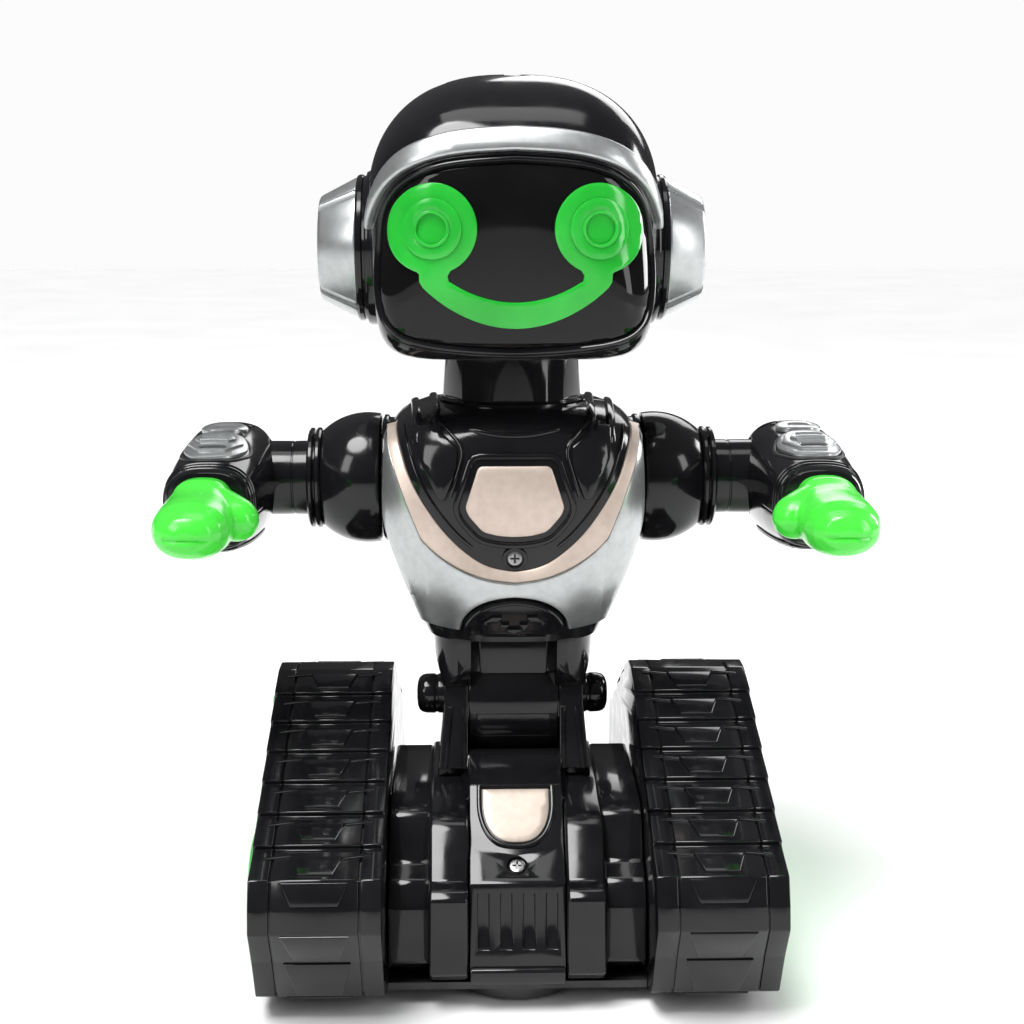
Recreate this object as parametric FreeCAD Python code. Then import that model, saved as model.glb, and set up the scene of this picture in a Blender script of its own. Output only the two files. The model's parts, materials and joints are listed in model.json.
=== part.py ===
import FreeCAD, Part
import math
import os

from FreeCAD import Vector

os.makedirs("parts", exist_ok=True)

# Toy robot on a tracked base. Millimetres, +Z up, the robot faces -Y and its left side is +X.
# Everything is drawn about the waist: x = 0 is the middle plane, y = 0 is just behind the waist pin and
# z = 0 is the flat underside of the tracks. place() then sets the model down on its wheels, with the
# origin on the ground under the middle of its bounding box.

# ---- driving dimensions ----
WHEEL_DROP = 3.5            # the wheels stand this far below the tracks
BOX_CENTRE_Y = -5.0         # middle of the whole model, front to back
TO_GROUND = Vector(0, -BOX_CENTRE_Y, WHEEL_DROP)
WALL = 2.0                  # moulded plastic wall
GAP = 0.3                   # clearance between moving bodies
FIT = 0.05                  # radial clearance of a shaft in its hole

TRACK_IN, TRACK_OUT = 34.6, 68.0        # inner and outer faces of a track, from the middle plane
PANEL_OUT = 70.0                        # outer face of the wheels on the side panels
WAIST_Y, WAIST_Z = -1.3, 64.4           # waist tilt axis
BARREL_R, BARREL_HALF = 18.3, 12.6      # hinge barrel under the torso
CHEEK_HALF = 20.5                       # outer faces of the two cheeks of the waist post
NECK_Y, NECK_R = 4.5, 20.0
HEAD_BOTTOM, HEAD_TOP = 164.0, 240.0
TORSO_BOTTOM, TORSO_TOP = 86.0, 150.0
ARM_Y, ARM_Z = 9.6, 126.7               # shoulder axis
SOCKET_X = 37.0                         # flat face of the torso where the arm turns
BALL_R, BALL_X = 19.0, 41.5
FOREARM_X = 81.0
EAR_Y, EAR_Z = 9.1, 192.8
TURRET_Y, TURRET_R = -42.0, 18.3
WHEEL_R, AXLE_R = 8.0, 1.25
AXLE_Z = WHEEL_R - WHEEL_DROP
REAR_AXLE_Y = 51.0
GEAR_MODULE, GEAR_TEETH, PINION_TEETH = 0.5, 20, 10

X, Y, Z = Vector(1, 0, 0), Vector(0, 1, 0), Vector(0, 0, 1)


# ---- small helpers ----
def box(x0, x1, y0, y1, z0, z1):
    return Part.makeBox(x1 - x0, y1 - y0, z1 - z0, Vector(x0, y0, z0))


def rod_x(r, x0, x1, y, z):
    return Part.makeCylinder(r, x1 - x0, Vector(x0, y, z), X)


def rod_y(r, y0, y1, x, z):
    return Part.makeCylinder(r, y1 - y0, Vector(x, y0, z), Y)


def rod_z(r, z0, z1, x, y):
    return Part.makeCylinder(r, z1 - z0, Vector(x, y, z0), Z)


def prism(points, direction, length):
    """Closed outline of 3D points, swept along a unit direction."""
    outline = Part.makePolygon(points + [points[0]])
    return Part.Face(outline).extrude(direction * length)


def slab_x(outline_yz, x0, x1):
    return prism([Vector(x0, y, z) for y, z in outline_yz], X, x1 - x0)


def slab_y(outline_xz, y0, y1):
    return prism([Vector(x, y0, z) for x, z in outline_xz], Y, y1 - y0)


def slab_z(outline_xy, z0, z1):
    return prism([Vector(x, y, z0) for x, y in outline_xy], Z, z1 - z0)


def mirrored(shape):
    return shape.mirror(Vector(0, 0, 0), X)


def both_sides(shape):
    return [shape, mirrored(shape)]


def fused(shapes):
    result = shapes[0]
    if len(shapes) > 1:
        result = result.fuse(shapes[1:])
    return result.removeSplitter()


def ring_x(r_out, r_in, x0, x1, y, z):
    return rod_x(r_out, x0, x1, y, z).cut(rod_x(r_in, x0 - 1, x1 + 1, y, z))


def superellipse(half_a, half_b, power, count=20):
    """Points round a closed superellipse, as (a, b) pairs."""
    points = []
    for i in range(count):
        t = 2 * math.pi * (i + 0.5) / count
        c, s = math.cos(t), math.sin(t)
        a = half_a * math.copysign(abs(c) ** (2 / power), c)
        b = half_b * math.copysign(abs(s) ** (2 / power), s)
        points.append((a, b))
    return points


def smooth_loop(points):
    curve = Part.BSplineCurve()
    curve.interpolate(points, PeriodicFlag=True)
    return Part.Wire(curve.toShape())


def place(shape):
    moved = shape.copy()
    moved.translate(TO_GROUND)
    return moved


nodes = {}


def add(name, shapes):
    """Keeps one node: a solid, or a list of separate solids."""
    solids = []
    for shape in shapes if isinstance(shapes, list) else [shapes]:
        solids += shape.Solids
    nodes[name] = place(solids[0] if len(solids) == 1 else Part.makeCompound(solids))


# ---- smooth bodies: stacked superellipse sections ----
# head and torso rows: height, half width, front y, back y, squareness
HEAD_ROWS = [
    (HEAD_BOTTOM, 28.0, -30.0, 27.0, 2.8),
    (168.0, 34.5, -38.0, 36.0, 3.0),
    (178.0, 37.6, -42.5, 43.5, 3.2),
    (195.0, 39.2, -44.5, 49.0, 3.1),
    (213.0, 39.3, -43.0, 49.5, 2.9),
    (226.0, 36.0, -38.0, 44.0, 2.7),
    (235.0, 27.5, -28.0, 33.0, 2.4),
    (HEAD_TOP, 12.0, -12.0, 17.0, 2.2),
]
TORSO_ROWS = [
    (TORSO_BOTTOM, 23.0, -24.0, 19.0, 3.2),
    (98.0, 29.0, -30.0, 23.0, 3.2),
    (115.0, 34.5, -33.0, 26.5, 3.4),
    (132.0, 35.5, -33.0, 27.0, 3.4),
    (144.0, 33.0, -29.0, 25.5, 3.0),
    (TORSO_TOP, 26.0, -20.0, 25.0, 2.6),
]
# forearm rows: distance in front of the shoulder axis, half width, half height
FOREARM_ROWS = [
    (-15.0, 7.0, 8.0),
    (-11.0, 11.0, 13.0),
    (-3.0, 12.8, 15.6),
    (10.0, 13.0, 15.8),
    (30.0, 12.8, 13.8),
    (44.0, 12.2, 11.6),
    (50.0, 11.2, 10.4),
]


def stacked_body(rows, grow):
    middle = (rows[0][0] + rows[-1][0]) / 2
    half_height = (rows[-1][0] - rows[0][0]) / 2
    wires = []
    for z, half_width, front, back, power in rows:
        z_new = middle + (z - middle) * (1 + grow / half_height)
        y_mid, half_depth = (front + back) / 2, (back - front) / 2
        loop = superellipse(half_width + grow, half_depth + grow, power)
        wires.append(smooth_loop([Vector(a, y_mid + b, z_new) for a, b in loop]))
    return Part.makeLoft(wires, True, False)


def head_body(grow):
    return stacked_body(HEAD_ROWS, grow)


def torso_body(grow):
    return stacked_body(TORSO_ROWS, grow)


def forearm_body(grow):
    first, last = FOREARM_ROWS[0][0], FOREARM_ROWS[-1][0]
    middle, half = (first + last) / 2, (last - first) / 2
    wires = []
    for s, half_width, half_height in FOREARM_ROWS:
        y = ARM_Y - (middle + (s - middle) * (1 + grow / half))
        loop = superellipse(half_width + grow, half_height + grow, 2.7)
        wires.append(smooth_loop([Vector(FOREARM_X + a, y, ARM_Z + b) for a, b in loop]))
    return Part.makeLoft(wires, True, False)


def skin_patch(body, region, inner, outer):
    """The part of a thin skin over a smooth body that lies inside a region."""
    return region.common(body(outer)).cut(body(inner))


# ---- outlines ----
def arc_points(centre_a, centre_b, r, start_deg, end_deg, count):
    points = []
    for i in range(count + 1):
        t = math.radians(start_deg + (end_deg - start_deg) * i / count)
        points.append((centre_a + r * math.cos(t), centre_b + r * math.sin(t)))
    return points


def shingled(start, end, count, lift):
    """Overlapping tread pads down a straight slope: each pad stands proud at its lower end."""
    (y0, z0), (y1, z1) = start, end
    length = math.hypot(y1 - y0, z1 - z0)
    outward = 1 if y1 < y0 else -1
    lift_y, lift_z = lift * outward * (z1 - z0) / length, lift * outward * (y0 - y1) / length
    points = []
    for i in range(count):
        upper, lower = i / count, (i + 1) / count
        points.append((y0 + (y1 - y0) * upper, z0 + (z1 - z0) * upper))
        points.append((y0 + (y1 - y0) * lower + lift_y, z0 + (z1 - z0) * lower + lift_z))
    return points


TRACK_FRONT_SLOPE = [(-2.0, 72.0), (-78.5, 38.5)]
TRACK_REAR_SLOPE = [(6.0, 72.0), (70.0, 38.0)]
TRACK_FRONT_END = [(-81.8, 33.0), (-83.0, 27.0), (-77.0, 17.0), (-71.0, 4.5), (-62.0, 0.0)]
TRACK_REAR_END = [(60.0, 0.0), (66.5, 5.5), (71.5, 15.0), (73.0, 27.0)]
TRACK_OUTLINE = (
    shingled(*TRACK_FRONT_SLOPE, 7, 1.4)
    + TRACK_FRONT_END
    + TRACK_REAR_END
    + shingled(*TRACK_REAR_SLOPE, 5, 1.4)[::-1]
)
PANEL_OUTLINE = [
    (4.2, 67.0), (-4.9, 65.5), (-68.7, 39.4), (-76.0, 23.5), (-70.5, 11.0), (-60.0, 4.5),
    (57.0, 4.5), (66.5, 14.0), (69.0, 30.0), (64.2, 39.6),
]
PLAIN_TRACK_OUTLINE = TRACK_FRONT_SLOPE + TRACK_FRONT_END + TRACK_REAR_END + TRACK_REAR_SLOPE[::-1]


def shrunk(outline, distance):
    """The outline moved inward by a distance, with its corners kept sharp."""
    face = Part.Face(Part.makePolygon([Vector(a, b, 0) for a, b in outline + [outline[0]]]))
    inner = face.makeOffset2D(-distance, 2)
    return [(v.X, v.Y) for v in inner.OuterWire.OrderedVertexes]


# ---- tracks and their green side panels ----
def track_shell():
    """Hollow tread moulding, with a window in its outer wall that the side panel covers."""
    shell = slab_x(TRACK_OUTLINE, TRACK_IN, TRACK_OUT)
    hollow = slab_x(shrunk(PLAIN_TRACK_OUTLINE, WALL), TRACK_IN + WALL, TRACK_OUT - 3.0)
    rebate = slab_x(shrunk(PANEL_OUTLINE, -0.1), TRACK_OUT - 1.5, TRACK_OUT + 1)
    window = slab_x(shrunk(PANEL_OUTLINE, 3.0), TRACK_OUT - 4, TRACK_OUT)
    return shell.cut(fused([hollow, rebate, window]))


def gear_outline(y, z, r_root, r_tip, teeth):
    points = []
    for i in range(teeth):
        for share, r in ((-0.28, r_root), (-0.14, r_tip), (0.14, r_tip), (0.28, r_root)):
            t = 2 * math.pi * (i + share) / teeth
            points.append((y + r * math.cos(t), z + r * math.sin(t)))
    return points


PANEL_WHEELS = [(51.5, 23.9, 18.35), (-51.5, 23.8, 18.35)]
PANEL_GEAR = (5.1, 51.3, 14.5)
ENGINE_OUTLINE = [(32.2, 39.9), (-33.2, 33.4), (-36.0, 12.2), (28.5, 10.3)]


def panel_wheel(y, z, r):
    """Spoked disc in relief: a rim, six vents and a hub."""
    face = TRACK_OUT
    disc = ring_x(r, r - 3.0, face, PANEL_OUT, y, z)
    web = rod_x(r - 2.5, face, PANEL_OUT - 1.0, y, z)
    for i in range(8):
        t = 2 * math.pi * i / 8
        web = web.cut(rod_x(1.9, face + 0.6, PANEL_OUT + 1, y + 12.6 * math.cos(t), z + 12.6 * math.sin(t)))
    hub = rod_x(9.0, face, PANEL_OUT - 0.3, y, z)
    dish = rod_x(4.0, PANEL_OUT - 1.2, PANEL_OUT + 1, y, z)
    return fused([disc, web, hub]).cut(dish)


def side_panel():
    """Translucent green cover: two wheels, a cog and an engine block stand out of a flat plate."""
    plate = slab_x(PANEL_OUTLINE, TRACK_OUT - 1.4, TRACK_OUT)
    y, z, r = PANEL_GEAR
    cog = slab_x(gear_outline(y, z, r - 2.6, r, 14), TRACK_OUT, PANEL_OUT - 0.4)
    cog = cog.cut(rod_x(6.0, PANEL_OUT - 1.2, PANEL_OUT, y, z))
    engine = slab_x(ENGINE_OUTLINE, TRACK_OUT, PANEL_OUT - 0.6)
    slots = [box(PANEL_OUT - 1.4, PANEL_OUT, y0, y0 + 2.4, 14.0, 24.0) for y0 in range(-20, 23, 7)]
    engine = engine.cut(fused(slots))
    wheels = [panel_wheel(*wheel) for wheel in PANEL_WHEELS]
    return fused([plate, cog, engine] + wheels)


# ---- base: deck, chassis, waist post ----
FRONT_PROFILE = [
    (0.0, 3.2), (0.0, 47.0), (-34.0, 50.0), (-40.0, 50.0),
    (-52.0, 39.0), (-62.0, 32.0), (-66.0, 11.0), (-60.0, 3.2),
]
REAR_PROFILE = [(0.0, 3.2), (64.0, 3.2), (64.0, 42.0), (26.0, 42.0), (24.0, 47.0), (0.0, 47.0)]
POD_PROFILE = [
    (0.0, 3.2), (0.0, 44.0), (-24.0, 44.0), (-41.0, 40.5), (-46.4, 36.5),
    (-49.0, 28.0), (-54.5, 26.0), (-59.5, 20.6), (-60.0, 3.2),
]
SILL_HALF = 34.4
SCREW_R, SCREW_HEAD_R = 1.3, 2.3


def deck_mass(inset):
    """Outer shape of the deck, or with an inset the space inside it."""
    def slab(profile, half_width):
        return slab_x(shrunk(profile, inset) if inset else profile, -half_width + inset, half_width - inset)

    front = slab(FRONT_PROFILE, 24.0)
    pods = slab(POD_PROFILE, SILL_HALF)
    rear = slab(REAR_PROFILE, 21.0)
    sill = box(-SILL_HALF + inset, SILL_HALF - inset, -60 + inset, 62 - inset, 3.2 + inset, 22.0 - inset)
    link = box(-19, 19, -4, 4, 8, 44)
    floor_opening = box(-SILL_HALF + inset, SILL_HALF - inset, -60 + inset, 62 - inset, 0, 8)
    return fused([front, pods, rear, sill, link, floor_opening] if inset else [front, pods, rear, sill])


def base_upper_shell():
    """Deck between the tracks: fenders in front, speaker dish and vents behind."""
    shell = deck_mass(0).cut(deck_mass(WALL))
    cuts = [rod_z(12.0, 41.0, 43.0, 0, 54.0)]
    cuts += [box(x - 1.0, x + 1.0, 60.0, 66.0, 24.0, 36.0) for x in (-12, -6, 0, 6, 12)]
    cuts += [box(x - 1.0, x + 1.0, -68.0, -65.0, 14.0, 29.0) for x in (-7.5, -2.5, 2.5, 7.5)]
    cuts.append(box(-BARREL_HALF - GAP, BARREL_HALF + GAP, -19.0, 17.0, 44.0, 48.0))
    cuts.append(rod_z(TURRET_R + 0.7, 0, 19.2, 0, TURRET_Y))
    return shell.cut(fused(cuts + base_screws()))


def waist_post():
    """Two cheeks with round tops, joined by a front and a rear plate below the hinge barrel."""
    top = arc_points(WAIST_Y, WAIST_Z, 18.0, 8, 172, 12)
    front_edge = [(-24.0, 47.2), (-26.0, 50.2), (-22.0, 56.0), (-19.6, 66.0)]
    rear_edge = [(17.0, 66.0), (22.0, 56.0), (23.5, 47.2)]
    post = slab_x(front_edge + top[::-1] + rear_edge, -CHEEK_HALF, CHEEK_HALF)
    barrel_space = rod_x(BARREL_R + 0.6, -BARREL_HALF - GAP, BARREL_HALF + GAP, WAIST_Y, WAIST_Z)
    window = box(-BARREL_HALF - GAP, BARREL_HALF + GAP, -40, 40, 54.0, 90.0)
    under = box(-BARREL_HALF - GAP, BARREL_HALF + GAP, -19.0, 17.0, 40.0, 60.0)
    pin_hole = rod_x(3.0, -30, 30, WAIST_Y, WAIST_Z)
    deck_space = deck_mass(0)
    return post.cut(fused([barrel_space, window, under, pin_hole])).cut(deck_space)


def waist_pin():
    """Pin through the hinge barrel with a round knob on each end."""
    pin = rod_x(3.0, -CHEEK_HALF - 1, CHEEK_HALF + 1, WAIST_Y, WAIST_Z)
    knob = rod_x(6.0, CHEEK_HALF, 28.5, WAIST_Y, WAIST_Z)
    knob = knob.makeFillet(2.4, [e for e in knob.Edges if e.BoundBox.XMin > 28])
    return fused([pin] + both_sides(knob))


def slope_transform(shape, y, z, tilt_deg):
    """Moves a piece drawn flat at the origin onto the sloping front deck."""
    shape = shape.copy()
    shape.rotate(Vector(0, 0, 0), X, tilt_deg)
    shape.translate(Vector(0, y, z))
    return shape


def deck_badge():
    """U-shaped plate on the sloping nose, square at the top and round at the tip."""
    outline = arc_points(0, -2.0, 6.0, 180, 360, 10) + [(9.5, 7.9), (-9.5, 7.9)]
    plate = slab_z(outline, 0.05, 1.3)
    return slope_transform(plate, -46.0, 44.5, 42.5)


CHASSIS_TOP, CHASSIS_BOTTOM = 3.0, 1.0
BATTERY_Y0, BATTERY_Y1 = -16.0, 42.0


def base_chassis():
    """Bottom plate: turret opening, battery well, rear axle saddles and the rear bumper."""
    plate = box(-SILL_HALF, SILL_HALF, -61.0, 61.5, CHASSIS_BOTTOM, CHASSIS_TOP)
    bumper = box(-SILL_HALF, SILL_HALF, 64.2, 68.0, CHASSIS_BOTTOM, 17.0)
    bumper_foot = box(-SILL_HALF, SILL_HALF, 61.0, 66.0, CHASSIS_BOTTOM, CHASSIS_TOP)
    slant = [(-2.6, 14.4), (-1.4, 14.4), (2.6, 4.2), (1.4, 4.2)]
    grooves = [slab_y([(x + a, z) for a, z in slant], 67.2, 70.0) for x in (-24, -12, 0, 12, 24)]
    saddles = [box(x - 1.5, x + 1.5, REAR_AXLE_Y - 3, REAR_AXLE_Y + 3, 2.5, 8.0) for x in (-20, 20)]
    well = box(-31.5, 31.5, BATTERY_Y0, BATTERY_Y1, CHASSIS_TOP - 0.5, 19.5)
    well = well.cut(box(-30.0, 30.0, BATTERY_Y0 + 1.5, BATTERY_Y1 - 1.5, 0, 18.0))
    body = fused([plate, bumper, bumper_foot, well] + saddles)
    cuts = [rod_z(TURRET_R + 0.5, 0, 5, 0, TURRET_Y)] + grooves
    cuts.append(box(-30.0, 30.0, BATTERY_Y0 + 1.5, BATTERY_Y1 - 1.5, 0, CHASSIS_TOP + 1))
    cuts += [box(x - 3.2, x + 3.2, REAR_AXLE_Y - 8.5, REAR_AXLE_Y + 8.0, 0, 5) for x in (-27, 27)]
    cuts.append(rod_x(AXLE_R + FIT, -34, 34, REAR_AXLE_Y, AXLE_Z))
    cuts.append(box(16.0, 24.0, -20.5, -17.5, 0, 5))
    return body.cut(fused(cuts + base_screws()))


def battery_door():
    """Plate that closes the battery well, held by one screw."""
    door = box(-29.8, 29.8, BATTERY_Y0 + 1.7, BATTERY_Y1 - 1.7, CHASSIS_BOTTOM, CHASSIS_BOTTOM + 1.5)
    grip = [box(-8, 8, y, y + 0.8, 0.5, CHASSIS_BOTTOM + 0.4) for y in (-10, -7.5, -5)]
    return door.cut(fused(grip))


CELL_R, CELL_LENGTH = 7.1, 50.0


def battery_cells():
    cells = []
    for i in range(4):
        x = -22.0 + i * 14.66
        first = (BATTERY_Y0 + BATTERY_Y1 - CELL_LENGTH) / 2
        can = rod_y(CELL_R, first, first + CELL_LENGTH - 1.2, x, 10.0)
        nub_at = first + CELL_LENGTH - 1.4
        cells.append(fused([can, rod_y(2.6, nub_at, nub_at + 1.4, x, 10.0)]))
    return cells


def battery_contacts():
    """Spring plates at one end of the well and flat plates at the other."""
    front = (BATTERY_Y0 + BATTERY_Y1 - CELL_LENGTH) / 2
    pieces = []
    for i in range(4):
        x = -22.0 + i * 14.66
        plate = box(x - 5, x + 5, BATTERY_Y0 + 1.6, BATTERY_Y0 + 2.0, 4.0, 16.0)
        spring = Part.makeCone(5.0, 3.0, front - BATTERY_Y0 - 2.1, Vector(x, BATTERY_Y0 + 2.0, 10.0), Y)
        pieces.append(fused([plate, spring]))
        pieces.append(box(x - 5, x + 5, BATTERY_Y1 - 2.1, BATTERY_Y1 - 1.6, 4.0, 16.0))
    return pieces


def circuit_board():
    """Control board over the battery well, with its chip, two capacitors and a plug header."""
    board = box(-18, 18, -2, 34, 22.5, 24.1)
    parts = [box(-6, 6, 8, 16, 24.0, 25.6), box(8, 16, 22, 28, 24.0, 29.0)]
    parts += [rod_z(2.5, 24.0, 32.0, x, 26.0) for x in (-12, -5)]
    return fused([board] + parts)


def speaker():
    """Round loudspeaker behind the rear vents."""
    frame = rod_y(10.0, 56.5, 60.0, 0, 30.0)
    magnet = rod_y(6.0, 51.0, 56.6, 0, 30.0)
    return fused([frame, magnet])


# ---- steering turret with the drive ----
GEAR_R = GEAR_MODULE * GEAR_TEETH / 2
PINION_R = GEAR_MODULE * PINION_TEETH / 2
MOTOR_Z = AXLE_Z + GEAR_R + PINION_R
GEAR_X0, GEAR_X1 = 5.6, 8.2
TURRET_FLOOR, TURRET_TOP = -2.4, 18.6
WHEEL_X, WHEEL_WIDTH = 11.6, 4.6


def turret_housing():
    """Round gearbox that turns freely under the nose and carries the two driven wheels."""
    outer = rod_z(TURRET_R, TURRET_FLOOR, TURRET_TOP, 0, TURRET_Y)
    inner = rod_z(TURRET_R - 1.4, TURRET_FLOOR + 1.2, TURRET_TOP - 1.4, 0, TURRET_Y)
    spindle = rod_z(4.0, TURRET_TOP - 0.5, 26.0, 0, TURRET_Y)
    shoulder = rod_z(8.0, TURRET_TOP - 0.5, 19.4, 0, TURRET_Y)
    saddles = [box(x - 0.8, x + 0.8, TURRET_Y - 3, TURRET_Y + 3, TURRET_FLOOR + 1, 7.4) for x in (-8.4, 3.6)]
    axle_hole = rod_x(AXLE_R + FIT, -16, 16, TURRET_Y, AXLE_Z)
    slots = [box(x - 2.8, x + 2.8, TURRET_Y - 7.6, TURRET_Y + 7.6, -4, 0.5) for x in (-WHEEL_X, WHEEL_X)]
    shell = fused([outer.cut(inner), spindle, shoulder] + saddles)
    return shell.cut(fused([axle_hole] + slots))


def turret_bridge():
    """Bar across the chassis whose bush takes the turret's spindle."""
    bar = box(-30, 30, TURRET_Y - 7, TURRET_Y + 7, 19.6, 22.0).common(deck_mass(WALL + 0.2))
    bush = rod_z(7.0, 19.6, 25.0, 0, TURRET_Y)
    legs = both_sides(box(24.5, 30, TURRET_Y - 5, TURRET_Y + 5, CHASSIS_TOP, 19.8))
    return fused([bar, bush] + legs).cut(rod_z(4.0 + FIT, 18, 30, 0, TURRET_Y))


def drive_motor():
    """Small flat-sided motor lying across the turret."""
    can = rod_x(6.0, -7.4, 2.6, TURRET_Y, MOTOR_Z).common(box(-20, 20, -60, 0, MOTOR_Z - 4.6, MOTOR_Z + 4.6))
    nose = rod_x(1.8, 2.5, 3.4, TURRET_Y, MOTOR_Z)
    return fused([can, nose]).cut(rod_x(0.8, -1.0, 10, TURRET_Y, MOTOR_Z))


def motor_pinion():
    """Motor shaft with its ten-tooth pinion."""
    teeth = gear_outline(TURRET_Y, MOTOR_Z, PINION_R - 0.62, PINION_R + 0.4, PINION_TEETH)
    shaft = rod_x(0.75, -0.9, GEAR_X1 + 0.4, TURRET_Y, MOTOR_Z)
    return fused([shaft, slab_x(teeth, GEAR_X0, GEAR_X1)])


def drive_gear():
    teeth = gear_outline(TURRET_Y, AXLE_Z, GEAR_R - 0.62, GEAR_R + 0.4, GEAR_TEETH)
    return slab_x(teeth, GEAR_X0, GEAR_X1).cut(rod_x(AXLE_R, -20, 20, TURRET_Y, AXLE_Z))


def drive_axle():
    return rod_x(AXLE_R, -WHEEL_X - WHEEL_WIDTH / 2, WHEEL_X + WHEEL_WIDTH / 2, TURRET_Y, AXLE_Z)


def wheel_pair(x, y, width, r_out, r_in):
    return both_sides(ring_x(r_out, r_in, x - width / 2, x + width / 2, y, AXLE_Z))


# ---- torso ----
SEAM_Y = 2.0
FRONT_HALF = box(-60, 60, -60, SEAM_Y - 0.05, 60, 300)
REAR_HALF = box(-60, 60, SEAM_Y + 0.05, 60, 60, 300)
BELLY_Z, BELLY_R = 88.5, 13.4
COLLAR_EDGE = [(30.5, 150.5), (24.0, 143.0), (19.5, 126.0), (13.0, 113.0), (5.0, 108.0), (0.0, 107.5)]
BELLY_EDGE = arc_points(0, BELLY_Z, BELLY_R + 0.3, 90, 4, 8)
ARMOUR_SIDE = [(23.8, 89.5), (30.5, 104.0), (36.5, 122.0), (36.5, 146.0)]
ARMOUR_HALF_OUTLINE = COLLAR_EDGE + BELLY_EDGE + ARMOUR_SIDE
BADGE_OUTLINE = [
    (9.4, 136.8), (13.2, 126.5), (9.0, 119.0), (0.0, 117.6), (-9.0, 119.0), (-13.2, 126.5), (-9.4, 136.8),
]


def hip_frame():
    """Hinge barrel and two hip pieces under the torso; they clear the round cheeks of the post."""
    barrel = rod_x(BARREL_R, -BARREL_HALF, BARREL_HALF, WAIST_Y, WAIST_Z)
    riser = box(-BARREL_HALF, BARREL_HALF, WAIST_Y - 15, WAIST_Y + 15, 72, 84)
    profile = [(-21.5, 69.0), (18.5, 69.0), (19.5, TORSO_BOTTOM), (-24.0, TORSO_BOTTOM)]
    hips = slab_x(profile, -22.0, 22.0).cut(rod_x(18.6, -30, 30, WAIST_Y, WAIST_Z))
    middle = box(-BARREL_HALF, BARREL_HALF, -30, WAIST_Y - 15, 60, 81).fuse(
        box(-BARREL_HALF, BARREL_HALF, WAIST_Y + 15, 30, 60, 81))
    frame = fused([barrel, riser, hips.cut(middle)])
    return frame.cut(rod_x(3.0 + FIT, -30, 30, WAIST_Y, WAIST_Z))


def torso_shell(half):
    """Half of the hollow torso, open at the neck and at the two arm sockets."""
    shell = torso_body(0).cut(torso_body(-WALL)).common(half)
    sockets = rod_x(15.0, -45, -31.0, ARM_Y, ARM_Z).fuse(rod_x(15.0, 31.0, 45, ARM_Y, ARM_Z))
    neck_hole = rod_z(NECK_R - 3.0, 140, 160, 0, NECK_Y)
    return shell.cut(fused([sockets, neck_hole] + torso_screws()))


def torso_front_shell():
    """Front half, with the ribbed half-round belly piece moulded in."""
    shell = torso_shell(FRONT_HALF)
    dome = slab_y(arc_points(0, BELLY_Z, BELLY_R, 3, 177, 14), -50, -20)
    belly = skin_patch(torso_body, dome, -0.5, 1.0)
    pieces = fused([shell, belly]).Solids
    return max(pieces, key=lambda piece: piece.Volume)


BOOSTER_X, BOOSTER_Y = 18.0, 37.0


def booster():
    """Rocket pack canister: domed top, bead, and a narrower slotted nozzle."""
    can = rod_z(9.5, 108.0, 130.0, BOOSTER_X, BOOSTER_Y)
    dome = Part.makeSphere(9.5, Vector(BOOSTER_X, BOOSTER_Y, 129.5), Z, 0, 90, 360)
    bead = rod_z(10.4, 105.5, 108.2, BOOSTER_X, BOOSTER_Y)
    nozzle = Part.makeCone(7.6, 9.0, 17.6, Vector(BOOSTER_X, BOOSTER_Y, 88.0), Z)
    body = fused([can, dome, bead, nozzle])
    return body.cut(torso_body(GAP / 3))


def back_hose():
    """Corrugated hose from the shoulder down to the hub between the canisters."""
    beads = []
    for i in range(9):
        f = i / 8
        x = 12.0 * (1 - f) ** 0.7 + 3.5
        z = 147.0 - 19.0 * f
        beads.append(Part.makeSphere(3.0, Vector(x, 29.5 + 1.5 * math.sin(math.pi * f), z)))
    return fused(beads).cut(torso_body(0.2)).cut(booster())


def torso_rear_shell():
    """Rear half, with the hose hub and the two rails that carry the rocket pack."""
    hub = rod_y(6.0, 24.0, 33.5, 0, 118.0)
    rails = [box(-12, 12, 22.0, 36.0, z, z + 2.0) for z in (98.0, 102.5)]
    extra = fused([hub] + rails).cut(torso_body(-0.5)).cut(fused(both_sides(booster())))
    return fused([torso_shell(REAR_HALF), extra])


def mirrored_outline(half_outline):
    other = [(-a, b) for a, b in half_outline[::-1] if a > 0]
    return half_outline + other


def chest_armour():
    region = fused(both_sides(slab_y(ARMOUR_HALF_OUTLINE, -50, 0)))
    sockets = rod_x(15.3, -50, -25.0, ARM_Y, ARM_Z).fuse(rod_x(15.3, 25.0, 50, ARM_Y, ARM_Z))
    return skin_patch(torso_body, region, 0.05, 1.5).cut(sockets)


def chest_badge():
    return skin_patch(torso_body, slab_y(BADGE_OUTLINE, -50, -15), 0.05, 1.5)


def shoulder_bushing():
    """Round bush set into the side of the torso, with a hole for the arm's spigot."""
    return ring_x(14.9, 6.0 + FIT, 32.0, SOCKET_X, ARM_Y, ARM_Z)


def neck_post():
    """Neck column with a spigot and a retaining flange inside the head."""
    height = HEAD_BOTTOM - GAP - TORSO_TOP
    column = Part.makeCone(NECK_R + 0.8, NECK_R - 0.5, height, Vector(0, NECK_Y, TORSO_TOP), Z)
    spigot = rod_z(10.0, 160, 171.0, 0, NECK_Y)
    flange = rod_z(13.0, 168.0, 170.0, 0, NECK_Y)
    plug = rod_z(NECK_R - 3.1, TORSO_TOP - 5, TORSO_TOP + 1, 0, NECK_Y)
    return fused([column, spigot, flange, plug]).cut(rod_z(7.0, 140, 180, 0, NECK_Y))


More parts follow.
